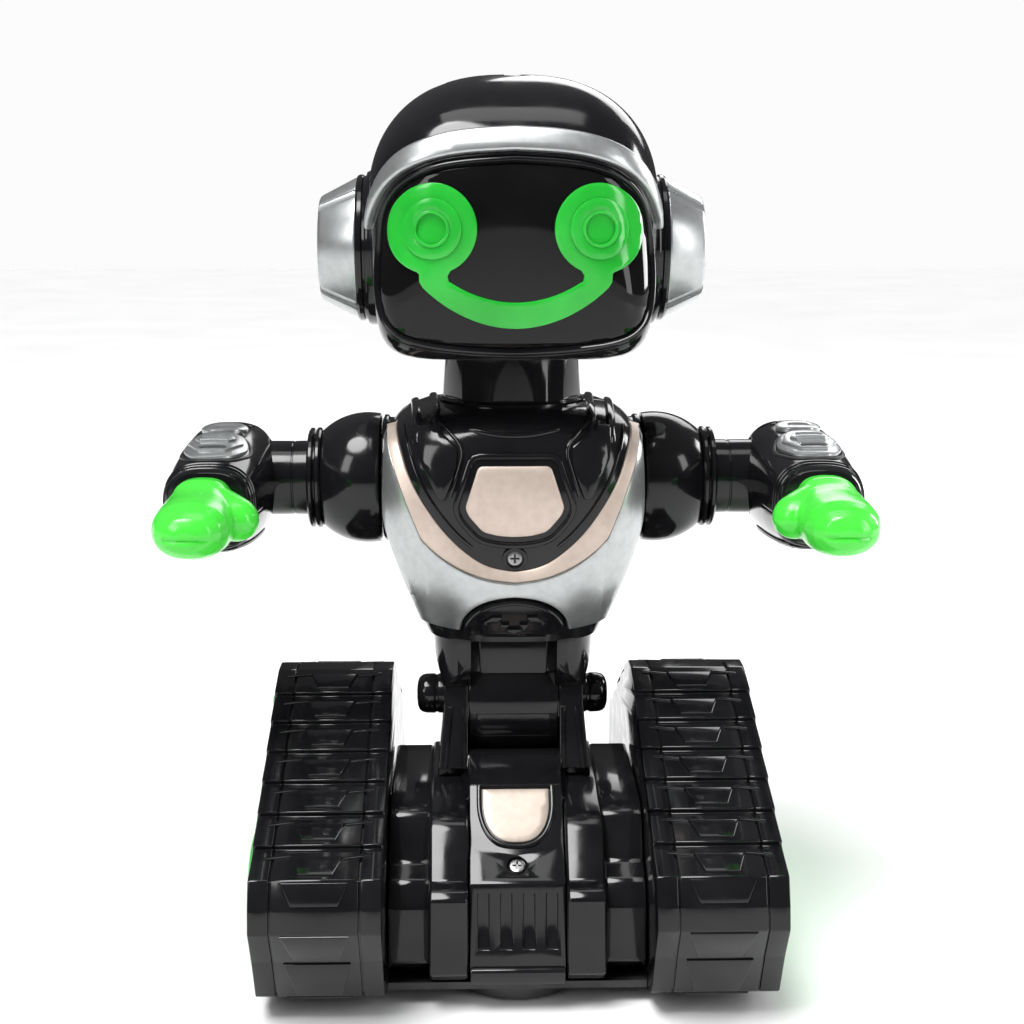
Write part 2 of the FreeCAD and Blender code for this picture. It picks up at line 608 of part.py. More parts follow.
# ---- head ----
HEAD_SEAM = [(-10.0, 250.0), (-10.0, 226.0), (2.0, 170.0), (2.0, 150.0)]
HEAD_FRONT = slab_x(HEAD_SEAM + [(-80.0, 150.0), (-80.0, 250.0)], -60, 60)
HEAD_REAR = slab_x(HEAD_SEAM + [(80.0, 150.0), (80.0, 250.0)], -60, 60)
FACE_HALF_OUTLINE = [
    (0.0, 217.5), (24.0, 215.5), (33.0, 208.0), (34.8, 196.0), (34.8, 176.0), (31.0, 169.0), (0.0, 166.8),
]
BAND_HALF_OUTLINE = [
    (0.0, 224.6), (22.0, 222.6), (33.0, 214.5), (38.8, 202.0),
    (37.0, 200.5), (33.5, 208.6), (24.0, 216.0), (0.0, 218.0),
]
EYE_X, EYE_Z = 21.0, 199.4
EYE_R = 11.0
STRIPES = [(0.0, -12.0, 36.0), (-20.0, -14.0, 32.0), (20.0, -14.0, 32.0)]


def stripe_region(x, front, back, half_width):
    straight = box(x - half_width, x + half_width, front, back, 200, 260)
    return fused([straight, rod_z(half_width, 200, 260, x, front), rod_z(half_width, 200, 260, x, back)])


def head_shell(half):
    """Half of the hollow head, with the neck hole in its floor and a screw recess behind."""
    shell = head_body(0).cut(head_body(-WALL)).common(half)
    neck_hole = rod_z(10.0 + FIT, 150, 167, 0, NECK_Y)
    screw_recess = rod_y(SCREW_HEAD_R, 45.6, 60, 0, 190.0)
    return shell.cut(fused([neck_hole, screw_recess] + head_screws()))


def head_front_frame():
    opening = slab_y(mirrored_outline(FACE_HALF_OUTLINE), -60, -20)
    return head_shell(HEAD_FRONT).cut(opening)


def face_plate():
    """Glossy mask that fills the front of the head; the light guide lies on it."""
    outline = shrunk(mirrored_outline(FACE_HALF_OUTLINE), 0.15)
    return skin_patch(head_body, slab_y(outline, -60, -22), -WALL, -0.3)


def smile_region():
    """Two eye rings joined by a curved mouth band."""
    eye = rod_y(EYE_R, -60, -20, EYE_X, EYE_Z).cut(rod_y(7.6, -61, -19, EYE_X, EYE_Z))
    iris = rod_y(6.2, -60, -20, EYE_X, EYE_Z).cut(rod_y(2.2, -61, -19, EYE_X, EYE_Z))
    spokes = [box(EYE_X - 8, EYE_X + 8, -60, -20, EYE_Z - 0.6, EYE_Z + 0.6)]
    spokes[0] = spokes[0].cut(rod_y(4.0, -61, -19, EYE_X, EYE_Z))
    lower = arc_points(0, 215.6, 41.5, -124.5, -55.5, 14)
    upper = arc_points(0, 217.6, 37.0, -55.5, -124.5, 14)
    mouth = slab_y(lower + upper, -60, -20)
    stem = box(EYE_X - 0.5, EYE_X + 3.5, -60, -20, EYE_Z - 18.0, EYE_Z - EYE_R + 1.0)
    eyes = fused([eye, iris, stem] + spokes)
    return fused([eyes, mirrored(eyes), mouth])


def face_light_guide():
    return skin_patch(head_body, smile_region(), -0.28, 0.6)


def brow_band():
    """Bright visor band over the face, curving down to the temples."""
    region = slab_y(mirrored_outline(BAND_HALF_OUTLINE), -60, -12)
    return skin_patch(head_body, region, 0.05, 1.4)


def head_stripes():
    return [skin_patch(head_body, stripe_region(*stripe, 1.9), 0.05, 0.7) for stripe in STRIPES]


def ear_ring():
    """Stepped ring between the head and an ear cup, cut to the curve of the head."""
    steps = [rod_x(21.5, 30.0, 41.0, EAR_Y, EAR_Z), rod_x(20.5, 40.5, 43.0, EAR_Y, EAR_Z)]
    return fused(steps).cut(head_body(0.3))


def ear_cup():
    """Truncated cone with a grooved face."""
    cone = Part.makeCone(19.4, 14.2, 10.4, Vector(43.0, EAR_Y, EAR_Z), X)
    disc = rod_x(12.9, 53.0, 54.4, EAR_Y, EAR_Z)
    groove = box(53.9, 56.0, EAR_Y - 0.5, EAR_Y + 0.5, EAR_Z - 20, EAR_Z + 20)
    return fused([cone, disc]).cut(groove)


def eye_led_board():
    """Board behind the face with a lamp behind each eye."""
    board = box(-27, 27, -33.0, -31.6, 188, 211)
    lamps = [rod_y(2.5, -38.0, -32.8, x, EYE_Z) for x in (-EYE_X, EYE_X)]
    return fused([board] + lamps)


def screw_y(x, y_head, z, length, direction):
    """Cross-head self-tapping screw along Y; direction is where its head faces."""
    y_tip = y_head - direction * length
    shank = rod_y(SCREW_R, min(y_head, y_tip), max(y_head, y_tip), x, z)
    y_in = y_head - direction * 1.4
    head = rod_y(SCREW_HEAD_R, min(y_head, y_in), max(y_head, y_in), x, z)
    slot = box(x - 1.4, x + 1.4, y_head - 0.5, y_head + 0.5, z - 0.3, z + 0.3)
    cross = box(x - 0.3, x + 0.3, y_head - 0.5, y_head + 0.5, z - 1.4, z + 1.4)
    return fused([shank, head]).cut(slot.fuse(cross))


def head_screws():
    return [screw_y(0, 47.0, 190.0, 12.0, 1)]


def torso_screws():
    return [screw_y(0, -33.4, 111.0, 10.0, -1)] + both_sides(screw_y(25.0, 25.5, 128.0, 10.0, 1))


def base_screws():
    """Self-tapping screws: one in the nose and four up through the chassis."""
    nose = fused([rod_z(SCREW_HEAD_R, -1.0, 0.6, 0, 0), rod_z(SCREW_R, -9.0, 0.0, 0, 0)])
    screws = [slope_transform(nose, -56.5, 35.9, 35.0)]
    for x, y in ((-31, -50), (31, -50), (-12, 59), (12, 59)):
        shank = rod_z(SCREW_R, 0.6, 12.0, x, y)
        screws.append(fused([shank, rod_z(SCREW_HEAD_R, -0.2, 1.0, x, y)]))
    return screws


# ---- arms ----
def shoulder_ball():
    """Domed joint cover with a spigot into the torso and a flange at its outer end."""
    inner, outer = SOCKET_X + GAP, 54.6
    inner_r = math.sqrt(BALL_R ** 2 - (BALL_X - inner) ** 2)
    outer_r = math.sqrt(BALL_R ** 2 - (outer - BALL_X) ** 2)
    start, end = Vector(inner, ARM_Y, ARM_Z + inner_r), Vector(outer, ARM_Y, ARM_Z + outer_r)
    crown = Part.Arc(start, Vector(BALL_X, ARM_Y, ARM_Z + BALL_R), end).toShape()
    section = Part.makePolygon([end, Vector(outer, ARM_Y, ARM_Z), Vector(inner, ARM_Y, ARM_Z), start])
    face = Part.Face(Part.Wire([crown] + section.Edges))
    ball = face.revolve(Vector(0, ARM_Y, ARM_Z), X, 360)
    flange = rod_x(14.6, 54.5, 58.4, ARM_Y, ARM_Z)
    spigot = rod_x(6.0, 31.0, 40.0, ARM_Y, ARM_Z)
    return fused([ball, flange, spigot])


def upper_arm():
    tube = rod_x(10.7, 58.4, 76.0, ARM_Y, ARM_Z)
    return tube.cut(forearm_body(0.05))


def forearm_shell(upper):
    """Half of the hollow forearm, parted along its sides."""
    shell = forearm_body(0).cut(forearm_body(-1.8))
    half = box(60, 100, -60, 40, ARM_Z + 0.05, 160) if upper else box(60, 100, -60, 40, 90, ARM_Z - 0.05)
    shell = shell.common(half)
    wrist = rod_y(5.0, -60, -30, FOREARM_X, ARM_Z)
    shell = shell.cut(wrist)
    if not upper:
        slots = [box(75, 87, -30 + 4 * i, -28 + 4 * i, 100, 116.4) for i in range(4)]
        shell = shell.cut(fused(slots + [rod_z(SCREW_HEAD_R, 100, 118, FOREARM_X, 2.0)]))
    return shell


def forearm_vent():
    """Bright vent pad with three slots on the upper shell."""
    half_outline = [(7.5, -12.0), (9.5, -8.0), (9.5, 4.0), (6.5, 9.0)]
    outline = mirrored_outline(half_outline)
    region = slab_z([(FOREARM_X + a, -16.0 + b) for a, b in outline], 130, 160)
    pad = skin_patch(forearm_body, region, 0.05, 1.4)
    slots = [box(FOREARM_X - 5, FOREARM_X + 5, -24.0 + 5 * i, -22.6 + 5 * i, 130, 160) for i in range(3)]
    return pad.cut(skin_patch(forearm_body, fused(slots), 0.8, 2.5))


def forearm_screw():
    shank = rod_z(SCREW_R, 113.0, 122.0, FOREARM_X, 2.0)
    head = rod_z(SCREW_HEAD_R - 0.1, 112.0, 113.4, FOREARM_X, 2.0)
    return fused([shank, head])


# hand rows: distance in front of the shoulder axis, half width, half height, drop below the axis
HAND_ROWS = [
    (50.3, 7.9, 8.9, 0.0), (54.5, 8.2, 8.9, 0.0), (58.0, 9.2, 8.5, 0.4), (64.0, 9.9, 8.0, 0.9),
    (70.0, 10.0, 7.7, 1.0), (75.0, 9.0, 6.8, 1.0), (79.0, 6.4, 4.8, 1.0), (81.0, 3.2, 2.4, 1.0),
]
THUMB_R, THUMB_LENGTH, THUMB_TURN = 4.8, 6.0, 25.0
THUMB_OFFSET = 10.8


def hand(side):
    """Mitten: four joined fingers, a thumb on the inner side and a peg into the wrist."""
    middle_x = side * FOREARM_X
    wires = []
    for s, half_width, half_height, drop in HAND_ROWS:
        loop = superellipse(half_width, half_height, 2.3)
        wires.append(smooth_loop([Vector(middle_x + a, ARM_Y - s, ARM_Z - drop + b) for a, b in loop]))
    palm = Part.makeLoft(wires, True, False)
    thumb = fused([
        rod_y(THUMB_R, -THUMB_LENGTH / 2, THUMB_LENGTH / 2, 0, 0),
        Part.makeSphere(THUMB_R, Vector(0, THUMB_LENGTH / 2, 0)),
        Part.makeSphere(THUMB_R, Vector(0, -THUMB_LENGTH / 2, 0)),
    ])
    thumb.rotate(Vector(0, 0, 0), Z, -THUMB_TURN * side)
    thumb.translate(Vector(middle_x - THUMB_OFFSET * side, ARM_Y - 62.0, ARM_Z - 1.2))
    peg = rod_y(5.0, ARM_Y - 52.0, ARM_Y - 42.0, middle_x, ARM_Z)
    return fused([palm, thumb, peg])


# ---- assembly ----
def power_switch():
    """Slide button on the underside, seen through a slot in the chassis."""
    knob = box(19.0, 21.0, -20.2, -17.8, 0.2, 3.4)
    return fused([knob, box(17.0, 23.0, -21.5, -16.8, 3.2, 4.6)])


def build_base():
    for side, flip in (("left", False), ("right", True)):
        for name, make in (("track_shell", track_shell), ("side_panel", side_panel)):
            shape = make()
            add(f"{name}_{side}", mirrored(shape) if flip else shape)
    add("base_upper_shell", base_upper_shell())
    add("base_chassis", base_chassis())
    add("waist_post", waist_post())
    add("waist_pin", waist_pin())
    add("deck_badge", deck_badge())
    add("battery_door", battery_door())
    add("battery_cells", battery_cells())
    add("battery_contacts", battery_contacts())
    add("circuit_board", circuit_board())
    add("speaker", speaker())
    add("turret_bridge", turret_bridge())
    add("base_screws", base_screws())
    add("power_switch", power_switch())


def build_drive():
    add("turret_housing", turret_housing())
    add("drive_motor", drive_motor())
    add("motor_pinion", motor_pinion())
    add("drive_gear", drive_gear())
    add("drive_axle", drive_axle())
    add("drive_wheels", wheel_pair(WHEEL_X, TURRET_Y, WHEEL_WIDTH, WHEEL_R - 1.2, AXLE_R))
    add("drive_tyres", wheel_pair(WHEEL_X, TURRET_Y, WHEEL_WIDTH, WHEEL_R, WHEEL_R - 1.2))
    add("rear_axle", rod_x(AXLE_R, -30.0, 30.0, REAR_AXLE_Y, AXLE_Z))
    add("rear_wheels", wheel_pair(27.0, REAR_AXLE_Y, 5.0, WHEEL_R, AXLE_R))


def build_torso():
    add("hip_frame", hip_frame())
    add("torso_front_shell", torso_front_shell())
    add("torso_rear_shell", torso_rear_shell())
    add("chest_armour", chest_armour())
    add("chest_badge", chest_badge())
    add("shoulder_bushings", both_sides(shoulder_bushing()))
    add("jetpack_boosters", both_sides(booster()))
    add("back_hoses", both_sides(back_hose()))
    add("neck_post", neck_post())
    add("torso_screws", torso_screws())


def build_head():
    add("head_rear_shell", head_shell(HEAD_REAR))
    add("head_front_frame", head_front_frame())
    add("face_plate", face_plate())
    add("face_light_guide", face_light_guide())
    add("brow_band", brow_band())
    add("head_stripes", head_stripes())
    add("ear_rings", both_sides(ear_ring()))
    add("ear_cups", both_sides(ear_cup()))
    add("eye_led_board", eye_led_board())
    add("head_screws", head_screws())


def build_arms():
    pieces = {
        "shoulder_ball": shoulder_ball(),
        "upper_arm": upper_arm(),
        "forearm_top_shell": forearm_shell(True),
        "forearm_bottom_shell": forearm_shell(False),
        "forearm_vent": forearm_vent(),
        "forearm_screw": forearm_screw(),
    }
    for name, shape in pieces.items():
        add(f"{name}_left", shape)
        add(f"{name}_right", mirrored(shape))
    add("hand_left", hand(1))
    add("hand_right", hand(-1))


build_base()
build_drive()
build_torso()
build_head()
build_arms()
for name, shape in nodes.items():
    shape.exportStep(f"parts/{name}.step")
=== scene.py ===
"""Looks of the toy robot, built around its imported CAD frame.

Pieces are drawn in millimetres in the robot's own layout: x = 0 is the middle plane, y = 0 is just
behind the waist pin, z = 0 is the underside of the tracks, and the robot faces -Y. to_frame() turns
that into metres in the row frame.
"""
import json
import math

import bmesh
import bpy
from mathutils import Matrix, Vector, geometry


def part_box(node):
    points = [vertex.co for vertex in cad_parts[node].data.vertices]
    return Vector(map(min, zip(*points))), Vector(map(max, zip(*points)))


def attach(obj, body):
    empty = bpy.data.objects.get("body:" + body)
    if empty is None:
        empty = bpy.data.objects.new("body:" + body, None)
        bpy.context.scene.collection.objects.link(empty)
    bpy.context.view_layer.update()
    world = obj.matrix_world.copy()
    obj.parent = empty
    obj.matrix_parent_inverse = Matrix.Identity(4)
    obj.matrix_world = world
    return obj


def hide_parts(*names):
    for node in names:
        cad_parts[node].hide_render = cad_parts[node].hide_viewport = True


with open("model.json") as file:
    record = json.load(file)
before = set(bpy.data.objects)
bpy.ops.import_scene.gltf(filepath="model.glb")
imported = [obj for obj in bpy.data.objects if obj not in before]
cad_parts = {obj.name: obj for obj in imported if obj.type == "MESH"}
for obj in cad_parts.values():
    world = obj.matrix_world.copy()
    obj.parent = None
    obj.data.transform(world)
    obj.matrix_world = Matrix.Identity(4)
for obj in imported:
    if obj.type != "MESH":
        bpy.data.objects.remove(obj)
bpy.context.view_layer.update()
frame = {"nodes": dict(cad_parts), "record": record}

# ---- layout, taken from the frame ----
MM = 0.001
pin_low, pin_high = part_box("waist_pin")
track_low, track_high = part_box("track_shell_left")
WAIST_Y, WAIST_Z = -1.3, 64.4           # waist tilt axis
SHIFT_Y = (pin_low.y + pin_high.y) / 2 / MM - WAIST_Y
SHIFT_Z = (pin_low.z + pin_high.z) / 2 / MM - WAIST_Z
TRACK_IN, TRACK_OUT = track_low.x / MM, track_high.x / MM
ARM_Y, ARM_Z = 9.6, 126.7               # shoulder axis
FOREARM_X = 81.0
NECK_Y = 4.5
EAR_Y, EAR_Z = 9.1, 192.8
WAIST, SHOULDER, EARS = (0, WAIST_Y, WAIST_Z), (0, ARM_Y, ARM_Z), (0, EAR_Y, EAR_Z)


def to_frame(p):
    return Vector((p[0], p[1] + SHIFT_Y, p[2] + SHIFT_Z)) * MM


# ---- materials ----
NOISE_LOW, NOISE_HIGH = 0.35, 0.65      # the range that most of a noise texture lies in


class Shader:
    """A Principled material with procedural colour, roughness and bump detail."""

    def __init__(self, name, **values):
        self.material = bpy.data.materials.new(name)
        self.material.use_nodes = True
        self.tree = self.material.node_tree
        self.bsdf = self.tree.nodes["Principled BSDF"]
        self.coords = self.tree.nodes.new("ShaderNodeTexCoord").outputs["Object"]
        self.fill(self.bsdf, values)

    def fill(self, node, values):
        for key, value in values.items():
            node.inputs[key.replace("_", " ")].default_value = value

    def node(self, kind, socket, source, **values):
        """A node with one input fed by a source and others set to values."""
        node = self.tree.nodes.new("ShaderNode" + kind)
        self.fill(node, values)
        self.tree.links.new(source, node.inputs[socket])
        return node

    def noise(self, scale, detail=4.0, distortion=0.0):
        return self.node("TexNoise", "Vector", self.coords, Scale=scale, Detail=detail,
                         Distortion=distortion).outputs["Fac"]

    def scratches(self, scale, stretch):
        """Fine lines: noise stretched along one direction."""
        mapping = self.node("Mapping", "Vector", self.coords, Scale=stretch, Rotation=(0.3, 0.5, 0.9))
        return self.node("TexNoise", "Vector", mapping.outputs["Vector"], Scale=scale,
                         Detail=3.0).outputs["Fac"]

    def colours(self, source, dark, light, start=NOISE_LOW, end=NOISE_HIGH):
        ramp = self.node("ValToRGB", "Fac", source)
        for element, place, colour in zip(ramp.color_ramp.elements, (start, end), (dark, light)):
            element.position, element.color = place, (*colour, 1)
        self.tree.links.new(ramp.outputs["Color"], self.bsdf.inputs["Base Color"])

    def roughness(self, source, low, high):
        spread = self.node("MapRange", "Value", source, From_Min=NOISE_LOW, From_Max=NOISE_HIGH,
                           To_Min=low, To_Max=high)
        self.tree.links.new(spread.outputs["Result"], self.bsdf.inputs["Roughness"])

    def bump(self, source, strength, distance):
        """Adds to the bumps that are already there."""
        node = self.node("Bump", "Height", source, Strength=strength, Distance=distance)
        for link in self.bsdf.inputs["Normal"].links:
            self.tree.links.new(link.from_socket, node.inputs["Normal"])
        self.tree.links.new(node.outputs["Normal"], self.bsdf.inputs["Normal"])


def plastic(name, dark, light, rough, texture=0.02, ior=1.5):
    """Moulded plastic: slight colour drift, smudged gloss, flow ripple and fine scratches."""
    s = Shader(name, IOR=ior)
    s.colours(s.noise(60.0, 5.0), dark, light)
    s.roughness(s.noise(140.0, 6.0, 0.6), rough * 0.75, rough * 1.45)
    s.bump(s.noise(26.0, 2.0), 0.12, 0.0006)
    s.bump(s.scratches(900.0, (1.0, 0.06, 1.0)), texture, 0.0002)
    return s.material


def metal_paint(name, dark, light, metallic, rough):
    """Silver lacquer: fine flake sparkle, uneven gloss and a soft orange-peel surface."""
    s = Shader(name, Metallic=metallic, IOR=1.5, Coat_Weight=0.15, Coat_Roughness=0.15)
    s.colours(s.noise(420.0, 8.0), dark, light, 0.3, 0.7)
    s.roughness(s.noise(45.0, 3.0), rough * 0.9, rough * 1.15)
    s.bump(s.noise(3200.0, 2.0), 0.04, 0.00008)
    s.bump(s.noise(180.0, 2.0), 0.03, 0.0002)
    return s.material


def clear_plastic(name, dark, light, transmission):
    """Tinted see-through plastic that glows where light collects in it."""
    s = Shader(name, IOR=1.49, Transmission_Weight=transmission, Subsurface_Weight=0.35,
               Subsurface_Radius=(0.002, 0.006, 0.002), Subsurface_Scale=1.0)
    s.colours(s.noise(55.0, 4.0), dark, light)
    s.roughness(s.noise(160.0, 4.0), 0.08, 0.2)
    s.bump(s.noise(90.0, 3.0), 0.08, 0.0004)
    return s.material


def steel(name, value, rough):
    """Bare metal with fine drawn lines."""
    s = Shader(name, Metallic=1.0)
    s.colours(s.noise(300.0, 5.0), [value * 0.8] * 3, [value] * 3)
    s.roughness(s.noise(500.0, 4.0), rough * 0.8, rough * 1.5)
    s.bump(s.scratches(1500.0, (1.0, 0.1, 1.0)), 0.1, 0.0001)
    return s.material


MATERIALS = {
    "black_shell": plastic("black gloss shell", (0.005, 0.005, 0.006), (0.009, 0.009, 0.010), 0.11, ior=1.42),
    "face_gloss": plastic("face gloss", (0.004, 0.004, 0.004), (0.006, 0.006, 0.006), 0.05, 0.01, ior=1.34),
    "green_clear": clear_plastic("clear green", (0.018, 0.52, 0.036), (0.036, 0.66, 0.062), 0.22),
    "green_solid": plastic("bright green hand", (0.055, 0.66, 0.045), (0.075, 0.72, 0.06), 0.2),
    "silver_paint": metal_paint("silver lacquer", (0.43, 0.445, 0.445), (0.50, 0.515, 0.515), 0.8, 0.3),
    "rose_silver": metal_paint("warm silver", (0.55, 0.45, 0.385), (0.62, 0.515, 0.445), 0.4, 0.42),
    "black_matte": plastic("black matt plastic", (0.016, 0.016, 0.017), (0.026, 0.026, 0.027), 0.42, 0.12),
    "screw_steel": steel("zinc screw", 0.32, 0.3),
    "steel_shaft": steel("ground shaft", 0.6, 0.22),
    "gear_white": plastic("acetal gear", (0.72, 0.71, 0.66), (0.82, 0.81, 0.77), 0.38, 0.05),
    "wheel_grey": plastic("grey wheel plastic", (0.05, 0.05, 0.055), (0.09, 0.09, 0.095), 0.35, 0.08),
    "tyre_rubber": plastic("tyre rubber", (0.012, 0.012, 0.012), (0.022, 0.022, 0.022), 0.7, 0.25),
    "motor_can": steel("motor can", 0.55, 0.28),
    "cell_wrap": plastic("cell wrap", (0.04, 0.05, 0.14), (0.06, 0.07, 0.2), 0.25),
    "board_green": plastic("solder mask", (0.01, 0.10, 0.03), (0.02, 0.15, 0.05), 0.35, 0.06),
    "speaker_black": plastic("speaker paper", (0.02, 0.02, 0.02), (0.035, 0.034, 0.033), 0.8, 0.2),
}
# Painted shade: the deck badge faces the light, so it gets a darker copy of the chest's warm silver lacquer, which
# holds back how bright it renders.
SHADED_DECK_SILVER = metal_paint("warm silver with painted shade for the deck", (0.37, 0.31, 0.265), (0.425, 0.36, 0.31), 0.4, 0.42)
for entry in frame["record"]["subparts"]:
    for slot in frame["nodes"][entry["node"]].material_slots:
        slot.material = MATERIALS[entry["material_slot"]]


# ---- mesh helpers ----
def added(name, data):
    """A new object in the scene."""
    obj = bpy.data.objects.new(name, data)
    bpy.context.scene.collection.objects.link(obj)
    return obj


def raw(name, points, faces):
    """An unfinished solid from points in millimetres, for cutting, joining or dressing."""
    mesh = bpy.data.meshes.new(name)
    mesh.from_pydata([to_frame(p) for p in points], [], faces)
    obj = added(name, mesh)
    bm = bmesh.new()
    bm.from_mesh(mesh)
    bmesh.ops.remove_doubles(bm, verts=bm.verts, dist=1e-6)
    bmesh.ops.recalc_face_normals(bm, faces=bm.faces)
    if bm.calc_volume(signed=True) < 0:
        bmesh.ops.reverse_faces(bm, faces=bm.faces)
    bm.to_mesh(mesh)
    bm.free()
    return obj


def dress(obj, slot, body, nodes=(), sharp=32.0):
    """Material, smooth shading, and the CAD body and nodes that the piece belongs to."""
    obj.data.materials.clear()
    obj.data.materials.append(MATERIALS[slot])
    obj.data.shade_smooth()
    obj.data.set_sharp_from_angle(angle=math.radians(sharp))
    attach(obj, body)
    if nodes:
        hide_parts(*nodes)
    return obj


def assemble(parts, node, slot, body):
    """Several solids as the one visible piece that stands for a CAD node."""
    return dress(join(parts, node), slot, body, [node])


def apply_modifiers(obj):
    bpy.context.view_layer.update()
    evaluated = obj.evaluated_get(bpy.context.evaluated_depsgraph_get())
    mesh = bpy.data.meshes.new_from_object(evaluated)
    old = obj.data
    obj.modifiers.clear()
    obj.data = mesh
    bpy.data.meshes.remove(old)
    return obj


def bevel(obj, width, segments=2, angle=35.0):
    """Rounds the sharp edges of a piece; width in millimetres."""
    m = obj.modifiers.new("bevel", "BEVEL")
    m.width = width * MM
    m.segments = segments
    m.limit_method = "ANGLE"
    m.angle_limit = math.radians(angle)
    return apply_modifiers(obj)


def cut(obj, cutters, operation="DIFFERENCE"):
    """Boolean with each cutter in turn; the cutters are removed."""
    for cutter in cutters:
        m = obj.modifiers.new("cut", "BOOLEAN")
        m.object = cutter
        m.operation = operation
        m.solver = "EXACT"
        apply_modifiers(obj)
        bpy.data.objects.remove(cutter)
    return obj


def swept(name, sections, closed=False):
    """A solid through a row of equal cross-sections, each a loop of 3D points."""
    n, count = len(sections[0]), len(sections)
    points = [tuple(p) for section in sections for p in section]
    faces = []
    for j in range(count if closed else count - 1):
        a, b = j * n, ((j + 1) % count) * n
        faces += [[a + i, a + (i + 1) % n, b + (i + 1) % n, b + i] for i in range(n)]
    if not closed:
        faces += [list(range(n))[::-1], list(range((count - 1) * n, count * n))]
    return raw(name, points, faces)


def slab(name, first, last):
    """A solid between two matching loops of 3D points."""
    n = len(first)
    faces = [list(range(n))[::-1], list(range(n, 2 * n))]
    faces += [[i, (i + 1) % n, n + (i + 1) % n, n + i] for i in range(n)]
    return raw(name, [*first, *last], faces)


def prism(outline, low, high, axis, name="prism"):
    """An outline swept along an axis between two heights; it uses the other two axes in order."""
    place = {
        "x": lambda a, b, h: (h, a, b),
        "y": lambda a, b, h: (a, h, b),
        "z": lambda a, b, h: (a, b, h),
    }[axis]
    return slab(name, *[[place(a, b, h) for a, b in outline] for h in sorted((low, high))])


def brick(x0, x1, y0, y1, z0, z1):
    x0, x1 = sorted((x0, x1))
    return prism([(x0, y0), (x1, y0), (x1, y1), (x0, y1)], z0, z1, "z")


def arc(centre_a, centre_b, r, start, end, count):
    angles = [math.radians(start + (end - start) * i / count) for i in range(count + 1)]
    return [(centre_a + r * math.cos(t), centre_b + r * math.sin(t)) for t in angles]


def circle(centre_a, centre_b, r, count=48):
    return arc(centre_a, centre_b, r, 0, 360, count)[:-1]


def lathe(profile, axis, centre, count=64, direction=1, name="lathe"):
    """A profile of (radius, distance along the axis) turned about an axis through a centre point."""
    turns = [2 * math.pi * i / count for i in range(count)]
    rings = []
    for r, h in profile:
        h *= direction
        ring = []
        for a, b in [(r * math.cos(t), r * math.sin(t)) for t in turns]:
            offset = {"x": (h, a, b), "y": (a, h, b), "z": (a, b, h)}[axis]
            ring.append(tuple(c + o for c, o in zip(centre, offset)))
        rings.append(ring)
    return swept(name, rings)


def join(objects, name):
    """Several solids as one object; they keep their own closed surfaces."""
    bm = bmesh.new()
    for o in objects:
        bm.from_mesh(o.data)
    mesh = bpy.data.meshes.new(name)
    bm.to_mesh(mesh)
    bm.free()
    for o in objects:
        bpy.data.objects.remove(o)
    return added(name, mesh)


def both(piece):
    """A piece and its mirror image on the other side of the middle plane."""
    mesh = piece.data.copy()
    mesh.transform(Matrix.Diagonal((-1, 1, 1, 1)))
    mesh.flip_normals()
    return [piece, added(piece.name + "_mirror", mesh)]


def block(outline, low, high, axis="x", width=0.6, segments=2, angle=25):
    """A prism with rounded edges."""
    return bevel(prism(outline, low, high, axis), width, segments, angle)


def reshaped(obj, change):
    """Moves every point of a piece; change works in millimetres."""
    shift = Vector((0, SHIFT_Y, SHIFT_Z))
    for vertex in obj.data.vertices:
        p = vertex.co / MM - shift
        vertex.co = to_frame(change(p.x, p.y, p.z))
    return obj


def turned(obj, degrees, axis, place):
    """Turns a piece drawn at the layout's origin about an axis, then moves it to a place."""
    for step in (Matrix.Translation(-to_frame((0, 0, 0))), Matrix.Rotation(math.radians(degrees), 4, axis),
                 Matrix.Translation(to_frame(place))):
        obj.data.transform(step)
    return obj


def blob(obj, voxel, smooth):
    """Melts overlapping solids into one soft skin."""
    m = obj.modifiers.new("remesh", "REMESH")
    m.mode = "VOXEL"
    m.voxel_size = voxel * MM
    m = obj.modifiers.new("smooth", "SMOOTH")
    m.factor = 0.5
    m.iterations = smooth
    return apply_modifiers(obj)


def offset_loop(loop, distance):
    """An outline moved inward by a distance; the outline runs anticlockwise."""
    n = len(loop)
    moved = []
    for i in range(n):
        ax, ay = loop[i - 1]
        bx, by = loop[i]
        cx, cy = loop[(i + 1) % n]
        n1 = Vector((-(by - ay), bx - ax)).normalized()
        n2 = Vector((-(cy - by), cx - bx)).normalized()
        mid = n1 + n2
        if mid.length < 1e-6:
            mid = n1
        mid.normalize()
        reach = distance / max(mid.dot(n1), 0.5)
        moved.append((bx + mid.x * reach, by + mid.y * reach))
    return moved


def signed_area(loop):
    return sum(a[0] * b[1] - b[0] * a[1] for a, b in zip(loop, loop[1:] + loop[:1])) / 2


def resampled(loop, step, closed=True):
    """Extra points along the straight runs of an outline, so that it can follow a curved surface."""
    result = []
    for a, b in zip(loop, loop[1:] + loop[:1] if closed else loop[1:]):
        count = max(1, math.ceil(math.dist(a, b) / step))
        result += [(a[0] + (b[0] - a[0]) * f, a[1] + (b[1] - a[1]) * f)
                   for f in [i / count for i in range(count)]]
    return result if closed else result + [loop[-1]]


def rounded(loop, r, segments=5):
    """Rounds the corners of an outline with short arcs."""
    result = []
    n = len(loop)
    for i in range(n):
        a, b, c = Vector(loop[i - 1]), Vector(loop[i]), Vector(loop[(i + 1) % n])
        d1, d2 = (a - b), (c - b)
        reach = min(r, d1.length * 0.45, d2.length * 0.45)
        p, q = b + d1.normalized() * reach, b + d2.normalized() * reach
        for k in range(segments + 1):
            t = k / segments
            point = p * (1 - t) ** 2 + b * 2 * t * (1 - t) + q * t ** 2
            result.append((point.x, point.y))
    return result


SLIVER_HEIGHT = 0.08                    # triangles flatter than this, in mm, are swapped away


